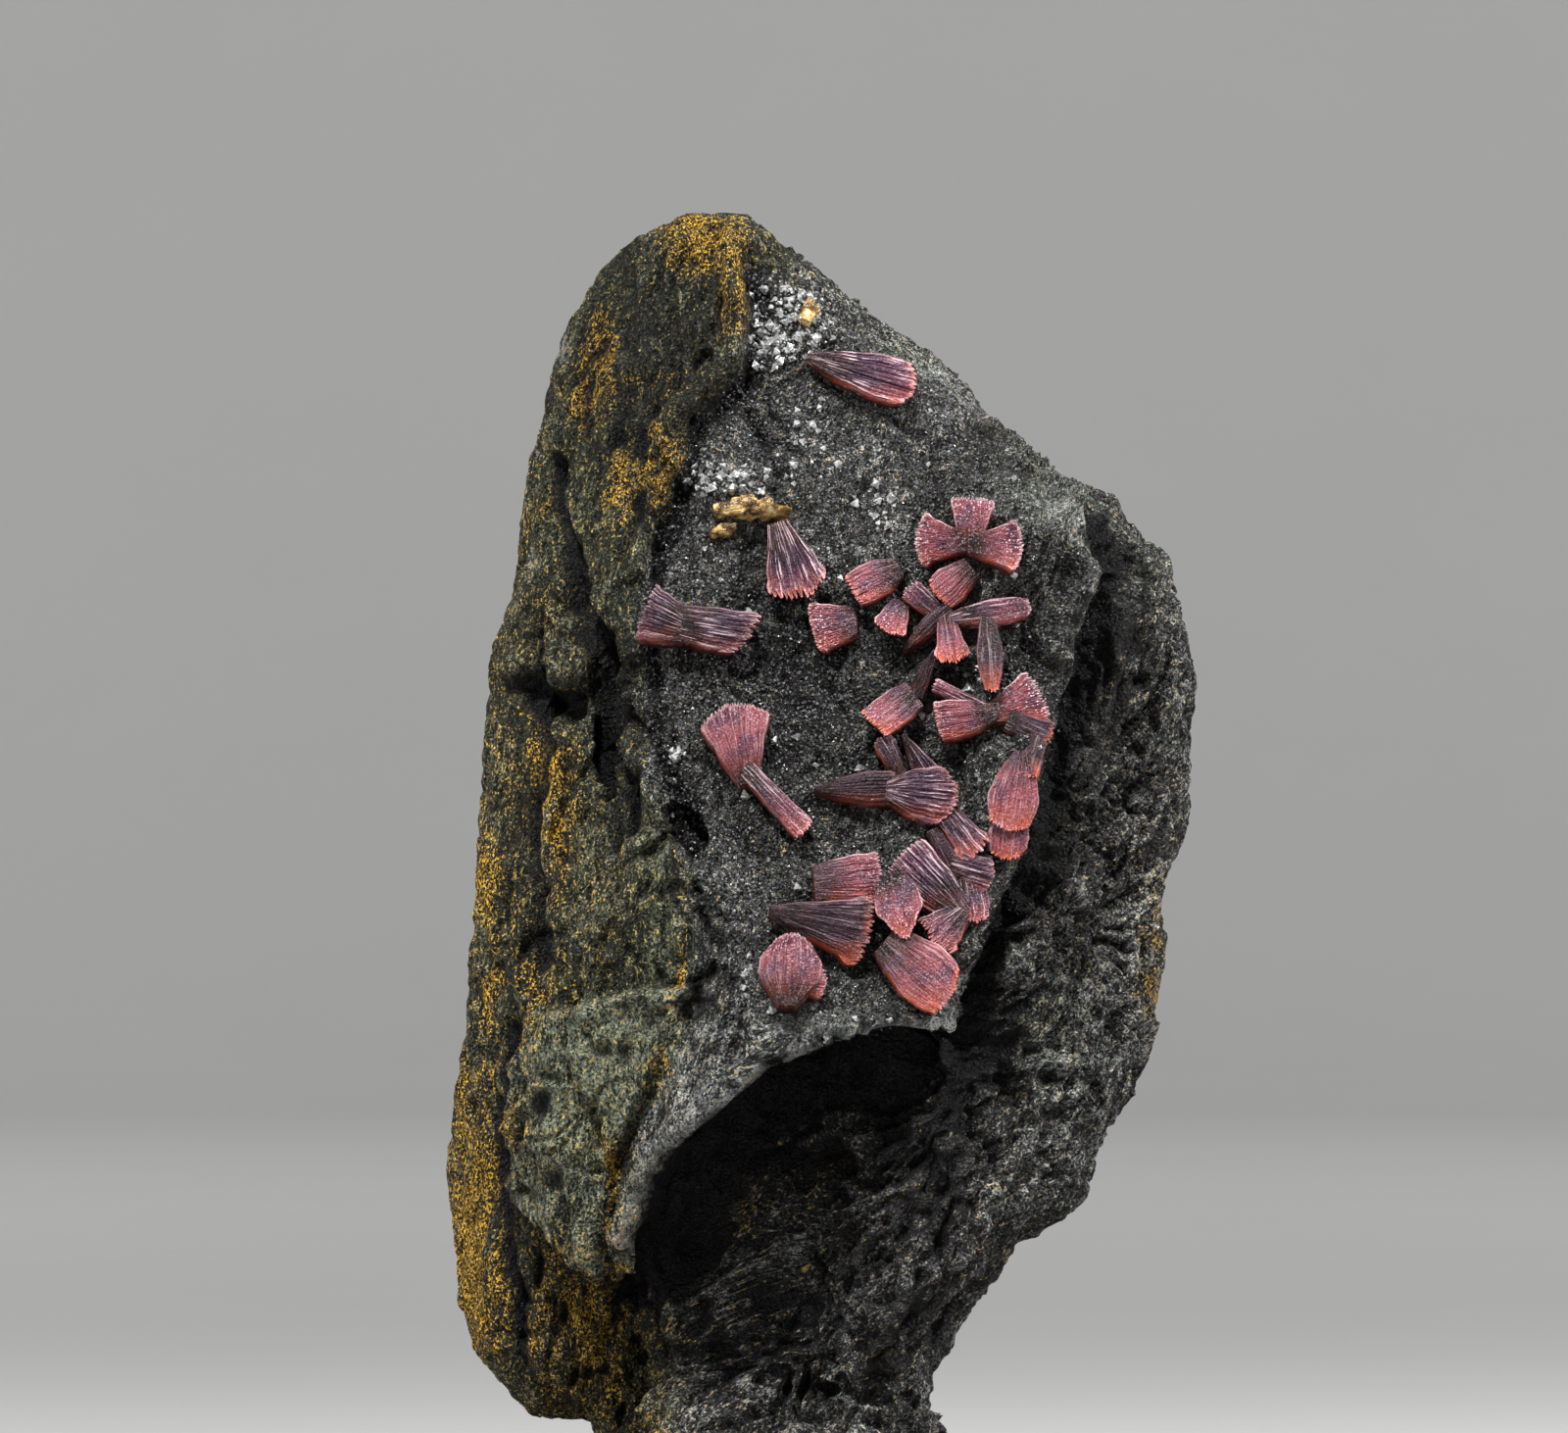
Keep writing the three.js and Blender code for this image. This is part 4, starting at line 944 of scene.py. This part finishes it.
def rock_pattern(tree):
    """The rock's strands, threads and grains, and how bright its strands are at a place."""
    ropes = drawn_noise(tree, "strands", (1.0, 1.0, 0.4), 2.0, 3.0, 0.65)
    threads = drawn_noise(tree, "strands", (1.0, 1.0, 0.6), 5.5, 2.0, 0.7)
    broad = cloud_noise(tree, object_place(tree), 190.0, 5.0, 0.6)
    fine = fine_grain(tree, 0.34, 0.1)
    tiny = fine_grain(tree, 0.17, 0.13)
    crisp = maths(tree, "ADD", product(tree, ropes, 0.45), product(tree, threads, 0.55))
    crisp = maths(tree, "ADD", crisp, product(tree, maths(tree, "SUBTRACT", broad, 0.5), 0.22))
    # Painted light and painted shade: paleness brightens the strands and shade darkens them
    crisp = maths(tree, "ADD", crisp, product(tree, stored(tree, "paleness"), 0.07))
    crisp = maths(tree, "SUBTRACT", crisp, product(tree, stored(tree, "shade"), 0.07))
    speck = maths(tree, "ADD", 0.25, product(tree, fine.outputs["Tone"], tiny.outputs["Tone"]))
    return {"ropes": ropes, "threads": threads, "broad": broad, "fine": fine, "tiny": tiny,
            "crisp": crisp, "speck": speck}


def rock_colour(tree, colours, pattern):
    """Colour of the rock: its body, weathering, strands with painted highlights, stain, painted glints, and
    painted shade in its valleys and hollows.
    """
    crisp, speck, threads = pattern["crisp"], pattern["speck"], pattern["threads"]
    weathered = stored(tree, "weathered")
    dim = product(tree, step(tree, crisp, 0.42, 0.54), speck, clamp=True)
    body = mix(tree, dim, colours.rock_dark, colours.rock_mid)
    worn_dim = product(tree, maths(tree, "ADD", dim, 0.05), 1.15, clamp=True)
    worn = mix(tree, worn_dim, colours.rock_dark, colours.weathered)
    base = mix(tree, product(tree, weathered, 0.95), body, worn)
    half_bright = step(tree, crisp, 0.46, 0.56)
    base = mix(tree, product(tree, stored(tree, "green"), half_bright), base, colours.green)
    # Bright strands: partly pale mineral, partly painted highlights
    bright = product(tree, step(tree, crisp, 0.535, 0.575), speck)
    fresh = maths(tree, "SUBTRACT", 1.1, product(tree, weathered, 0.3))
    bright = product(tree, bright, fresh, 1.1, clamp=True)
    strand = mix(tree, weathered, colours.rock_light, colours.weathered_strands_and_highlights)
    base = mix(tree, bright, base, strand)
    # Pale spots and painted light: paleness lightens the rock towards its light colour
    pale_and_lit = product(tree, speck, half_bright, stored(tree, "paleness"), clamp=True)
    base = mix(tree, pale_and_lit, base, toned(colours.rock_light, 0.75))
    lumpy = maths(tree, "ADD", threads, product(tree, pattern["ropes"], 0.5))
    stain = maths(tree, "ADD", product(tree, stored(tree, "ochre"), 0.32), lumpy)
    stained = mix(tree, step(tree, threads, 0.525, 0.56), toned(colours.ochre, 0.12),
                  toned(colours.ochre, 1.9))
    base = mix(tree, step(tree, stain, 0.91, 0.96), base, stained)
    # Painted glints: bright grains, stronger in broad patches and in the pocket
    light = maths(tree, "ADD", 0.2, product(tree, step(tree, pattern["broad"], 0.44, 0.6), 1.1))
    glints = maths(tree, "MAXIMUM", pattern["fine"].outputs["Glint"], pattern["tiny"].outputs["Glint"])
    in_pocket = maths(tree, "ADD", 0.25, product(tree, stored(tree, "pocket"), 0.6))
    base = mix(tree, product(tree, glints, light, in_pocket), base, colours.rock_glint)
    # Painted shade: valleys and shaded places are mixed towards the dark rock colour
    painted_shade = maths(tree, "ADD", stored(tree, "valley_shade"), product(tree, stored(tree, "shade"), 0.8), clamp=True)
    return mix(tree, painted_shade, base, colours.rock_dark)


def rock_material(colours):
    """Dark granular rock with bright strands, grey-green weathering and ochre stain."""
    material, tree, shader = start_material("rough_rock")
    pattern = rock_pattern(tree)
    rough = maths(tree, "SUBTRACT", 0.75, product(tree, pattern["tiny"].outputs["Tone"], 0.45))
    normal = bumped(tree, [(pattern["ropes"], 1.0, 1.8), (pattern["threads"], 1.0, 0.7),
                           (pattern["fine"].outputs["Height"], 0.9, 0.25),
                           (pattern["tiny"].outputs["Height"], 0.8, 0.12)])
    feed(tree, shader, {"Base Color": rock_colour(tree, colours, pattern), "Roughness": rough,
                        "Normal": normal, "Specular IOR Level": 0.22})
    return material


def crystal_pattern(tree):
    """A crystal's fibres, cloudy patches and frosty grains."""
    fibre = drawn_noise(tree, "fibres", (5.0, 0.35, 0.9), 1.0, 3.0, 0.6)
    cloud = cloud_noise(tree, object_place(tree), 500.0, 4.0, 0.6)
    return fibre, cloud, fine_grain(tree, 0.19, 0.35)


def crystal_body(tree, colours, fibre, cloud):
    """Colour through a crystal: brown neck, mauve body and blushing top."""
    along, pinkness, pale = (stored(tree, name) for name in ("along", "pinkness", "pale"))
    ripe = step(tree, maths(tree, "ADD", along, product(tree, cloud, 0.4)), 0.35, 0.95)
    clear = maths(tree, "ADD", maths(tree, "ADD", 0.25, pinkness), product(tree, pale, 0.6), clamp=True)
    brown = mix(tree, step(tree, cloud, 0.4, 0.6), colours.root, colours.brown)
    body = mix(tree, product(tree, ripe, clear), brown, colours.mauve)
    reddened = maths(tree, "ADD", along, product(tree, maths(tree, "ADD", pinkness, fibre), 0.6))
    blush = step(tree, reddened, 0.92, 1.4)
    base = mix(tree, product(tree, pinkness, blush), body, colours.pink)
    return mix(tree, product(tree, step(tree, cloud, 0.48, 0.6), 0.62), base, colours.mauve)


def crystal_colour(tree, colours, fibre, cloud, grain):
    """Colour of a crystal's surface: its body with furrows and their painted shade, pale ribs, frost, rims
    with painted highlight and glow, and dark sides.
    """
    along, rib, side, pinkness, pale, frost = (
        stored(tree, name) for name in ("along", "rib", "side", "pinkness", "pale", "frost"))
    base = crystal_body(tree, colours, fibre, cloud)
    clean = maths(tree, "SUBTRACT", 1.0, product(tree, frost, 0.85))
    # Dark fibre lines, with painted shade in the rib furrows and cracks
    depth = product(tree, maths(tree, "ADD", 0.2, product(tree, pale, 0.75)), clean)
    furrow = maths(tree, "MAXIMUM", step(tree, fibre, 0.48, 0.36), step(tree, rib, 0.5, 0.0))
    base = mix(tree, product(tree, furrow, depth), base, colours.root)
    lines = product(tree, step(tree, fibre, 0.56, 0.62), maths(tree, "ADD", 0.25, rib), clean)
    base = mix(tree, product(tree, lines, pale, clamp=True), base, colours.pale)
    toward_end = step(tree, maths(tree, "ADD", along, product(tree, cloud, 0.6)), 0.75, 1.25)
    crusted = maths(tree, "ADD", 0.25, product(tree, toward_end, 0.75))
    base = mix(tree, product(tree, frost, crusted, grain.outputs["Glint"]), base, colours.pale)
    # Pale rim along the outline: the frosted rim's own paleness with a painted highlight along the edge
    lined = product(tree, stored(tree, "outline"), maths(tree, "ADD", 0.25, product(tree, frost, 0.45)))
    base = mix(tree, lined, base, colours.pale)
    plain = product(tree, maths(tree, "ADD", pinkness, pale), 1.5, clamp=True)
    base = mix(tree, product(tree, maths(tree, "SUBTRACT", 1.0, plain), 0.75), base, colours.root)
    # Painted light: orange glow where thin rims and low parts are lit from behind
    edge = product(tree, stored(tree, "glow"), step(tree, cloud, 0.3, 0.5), clamp=True)
    base = mix(tree, product(tree, edge, 0.75), base, colours.orange)
    return mix(tree, product(tree, step(tree, side, 0.02, 0.25), 0.9), base, colours.root)


def crystal_material(colours):
    """Frosted pink tops, mauve bodies, dark roots, pale ribs and orange edges."""
    material, tree, shader = start_material("rhodochrosite")
    fibre, cloud, grain = crystal_pattern(tree)
    feed(tree, shader, {
        "Base Color": crystal_colour(tree, colours, fibre, cloud, grain),
        "Roughness": maths(tree, "ADD", 0.18, product(tree, fibre, 0.35)),
        "Normal": bumped(tree, [(fibre, 0.8, 0.3), (grain.outputs["Height"], 0.8, 0.1)]),
        "Specular IOR Level": 0.16, "Subsurface Weight": 0.05, "Subsurface Scale": 0.4 * MM, "IOR": 1.6,
    })
    return material


def honey_material(colours):
    """Glassy honey-brown blades."""
    material, tree, shader = start_material("honey_blades")
    cloud = cloud_noise(tree, object_place(tree), 1100.0, 5.0)
    grain = fine_grain(tree, 0.2, 0.14)
    base = mix(tree, step(tree, cloud, 0.42, 0.58), colours.honey_dark, colours.honey)
    base = mix(tree, step(tree, cloud, 0.58, 0.66), base, colours.honey_pale)
    # Painted glints on the honey blades
    base = mix(tree, product(tree, grain.outputs["Glint"], 0.4), base, colours.honey_glint)
    normal = bumped(tree, [(cloud, 0.8, 0.3), (grain.outputs["Height"], 0.7, 0.15)])
    feed(tree, shader, {"Base Color": base, "Roughness": product(tree, cloud, 0.6), "Normal": normal,
                        "IOR": 1.55})
    return material


def grain_material(name, tint, roughness, clear):
    """Small glossy grains, each place with its own shade."""
    material, tree, shader = start_material(name)
    grain = fine_grain(tree, 0.3, 0.1)
    feed(tree, shader, {
        "Base Color": mix(tree, grain.outputs["Tone"], toned(tint, 0.2), tint),
        "Roughness": maths(tree, "ADD", roughness, product(tree, grain.outputs["Tone"], 0.3)),
        "Normal": bumped(tree, [(grain.outputs["Height"], 0.4, 0.1)]),
        "Transmission Weight": clear, "IOR": 1.54,
    })
    return material


def plain_material(name, tint):
    """Matt stage paint with a faint mottle."""
    material, tree, shader = start_material(name)
    mottle = cloud_noise(tree, object_place(tree), 30.0, 2.0)
    feed(tree, shader, {"Base Color": mix(tree, mottle, tint, toned(tint, 0.97)), "Roughness": 0.9})
    return material


# Stage

def build_floor(colours):
    """A pale round floor that sweeps up on all sides, beyond any camera."""
    reach, radius, high, segments = FLOOR_REACH, 600.0, 1300.0, 48
    profile = [(reach - radius, 0.0)]
    for n in range(1, 11):
        turn = math.pi / 2 * n / 10
        profile.append((reach - radius + radius * math.sin(turn), radius - radius * math.cos(turn)))
    profile.append((reach, high))
    points = [(0.0, 0.0, 0.0)]
    for out, z in profile:
        for n in range(segments):
            turn = 2 * math.pi * n / segments
            points.append((out * math.cos(turn), out * math.sin(turn), z))
    faces = []
    for n in range(segments):
        beside = (n + 1) % segments
        faces.append((0, 1 + n, 1 + beside))
        for level in range(len(profile) - 1):
            low, up = 1 + level * segments, 1 + (level + 1) * segments
            faces.append((low + n, up + n, up + beside, low + beside))
    floor = new_object("floor", points, faces)
    floor.data.shade_smooth()
    floor.data.materials.append(plain_material("pale_floor", colours.floor))
    return floor


def add_lamp(name, place, target, size, power):
    """A soft square lamp, placed in millimetres."""
    lamp = bpy.data.lights.new(name, "AREA")
    lamp.size = size * MM
    lamp.energy = power
    made = in_scene(name, lamp)
    made.location = Vector(place) * MM
    made.rotation_euler = (Vector(target) - Vector(place)).to_track_quat("-Z", "Y").to_euler()
    return made


def build_stage(colours):
    """Floor, lamps, sky and the camera at the photo's viewing angle."""
    floor = build_floor(colours)
    lamps = [add_lamp(name, place, LAMP_AIM, size, power) for name, place, size, power in LAMPS]
    for n in range(4):
        turn = math.pi / 2 * n
        across, along = math.cos(turn), math.sin(turn)
        place = (BACKDROP_OUT * across, BACKDROP_OUT * along, BACKDROP_HIGH)
        target = (FLOOR_REACH * across, FLOOR_REACH * along, BACKDROP_AIM)
        lamps.append(add_lamp(f"backdrop_{n + 1}", place, target, BACKDROP_SIZE, BACKDROP_POWER))
    world = bpy.data.worlds.new("studio")
    world.use_nodes = True
    world.node_tree.nodes["Background"].inputs["Color"].default_value = (0.92, 0.95, 1.0, 1.0)
    world.node_tree.nodes["Background"].inputs["Strength"].default_value = 0.12
    bpy.context.scene.world = world
    camera = bpy.data.cameras.new("camera")
    camera.sensor_width = 36.0
    camera.lens = camera.sensor_width * CAMERA_DISTANCE / (PHOTO_WIDE * PHOTO_SCALE)
    camera.clip_start = 0.05
    camera.clip_end = 10.0
    made = in_scene("camera", camera)
    made.location = Vector((PHOTO_CENTRE[0], FRONT - CAMERA_DISTANCE, PHOTO_CENTRE[1])) * MM
    made.rotation_euler = (math.radians(90), 0, 0)
    bpy.context.scene.camera = made
    bpy.context.scene.view_settings.view_transform = "Standard"


# Operators

def finish_operator(operator, made):
    """Stops with a plain message if nothing was made."""
    if not made:
        raise RuntimeError(f"{operator.bl_label} made nothing")
    return {"FINISHED"}


class SPECIMEN_OT_rock(bpy.types.Operator):
    """Build the rough rock"""

    bl_idname = "specimen.rock"
    bl_label = "Build rock"

    def execute(self, context):
        settings = context.scene.specimen
        return finish_operator(self, build_rock(settings.sizes, settings.colours))


class SPECIMEN_OT_crystals(bpy.types.Operator):
    """Build the pink and mauve crystals"""

    bl_idname = "specimen.crystals"
    bl_label = "Build crystals"

    def execute(self, context):
        settings = context.scene.specimen
        rib_width = settings.sizes.rib_width / MM
        material = crystal_material(settings.colours)
        return finish_operator(self, build_crystal_pieces(CRYSTALS, rib_width, material, CRYSTAL_SEED))


class SPECIMEN_OT_honey_blades(bpy.types.Operator):
    """Build the honey-brown blades"""

    bl_idname = "specimen.honey_blades"
    bl_label = "Build honey blades"

    def execute(self, context):
        material = honey_material(context.scene.specimen.colours)
        made = build_crystal_pieces(HONEY_BLADES, HONEY_RIB_WIDTH, material, HONEY_SEED)
        return finish_operator(self, made)


class SPECIMEN_OT_grains(bpy.types.Operator):
    """Scatter the dark and the clear grains over the pocket"""

    bl_idname = "specimen.grains"
    bl_label = "Scatter grains"

    def execute(self, context):
        settings = context.scene.specimen
        tree = rock_tree(bpy.data.objects["rock"])
        return finish_operator(self, build_grains(settings.sizes, settings.colours, tree))


class SPECIMEN_OT_stage(bpy.types.Operator):
    """Build the floor, lamps and camera"""

    bl_idname = "specimen.stage"
    bl_label = "Build stage"

    def execute(self, context):
        build_stage(context.scene.specimen.colours)
        return finish_operator(self, [context.scene.camera])


class SPECIMEN_PT_panel(bpy.types.Panel):
    """Settings and steps of the specimen"""

    bl_idname = "SPECIMEN_PT_panel"
    bl_label = "Rhodochrosite specimen"
    bl_space_type = "VIEW_3D"
    bl_region_type = "UI"
    bl_category = "Specimen"

    def draw(self, context):
        settings = context.scene.specimen
        for group in (settings.sizes, settings.colours):
            for name in group.__annotations__:
                self.layout.prop(group, name)
        for step_class in STEPS:
            self.layout.operator(step_class.bl_idname)


STEPS = (SPECIMEN_OT_rock, SPECIMEN_OT_crystals, SPECIMEN_OT_honey_blades, SPECIMEN_OT_grains,
         SPECIMEN_OT_stage)
CLASSES = (SpecimenSizes, SpecimenColours, SpecimenSettings, *STEPS, SPECIMEN_PT_panel)


def register():
    for each in CLASSES:
        bpy.utils.register_class(each)
    bpy.types.Scene.specimen = bpy.props.PointerProperty(type=SpecimenSettings)


def unregister():
    del bpy.types.Scene.specimen
    for each in reversed(CLASSES):
        bpy.utils.unregister_class(each)


def main():
    register()
    bpy.ops.specimen.rock()
    bpy.ops.specimen.crystals()
    bpy.ops.specimen.honey_blades()
    bpy.ops.specimen.grains()
    bpy.ops.specimen.stage()


if __name__ == "__main__":
    main()
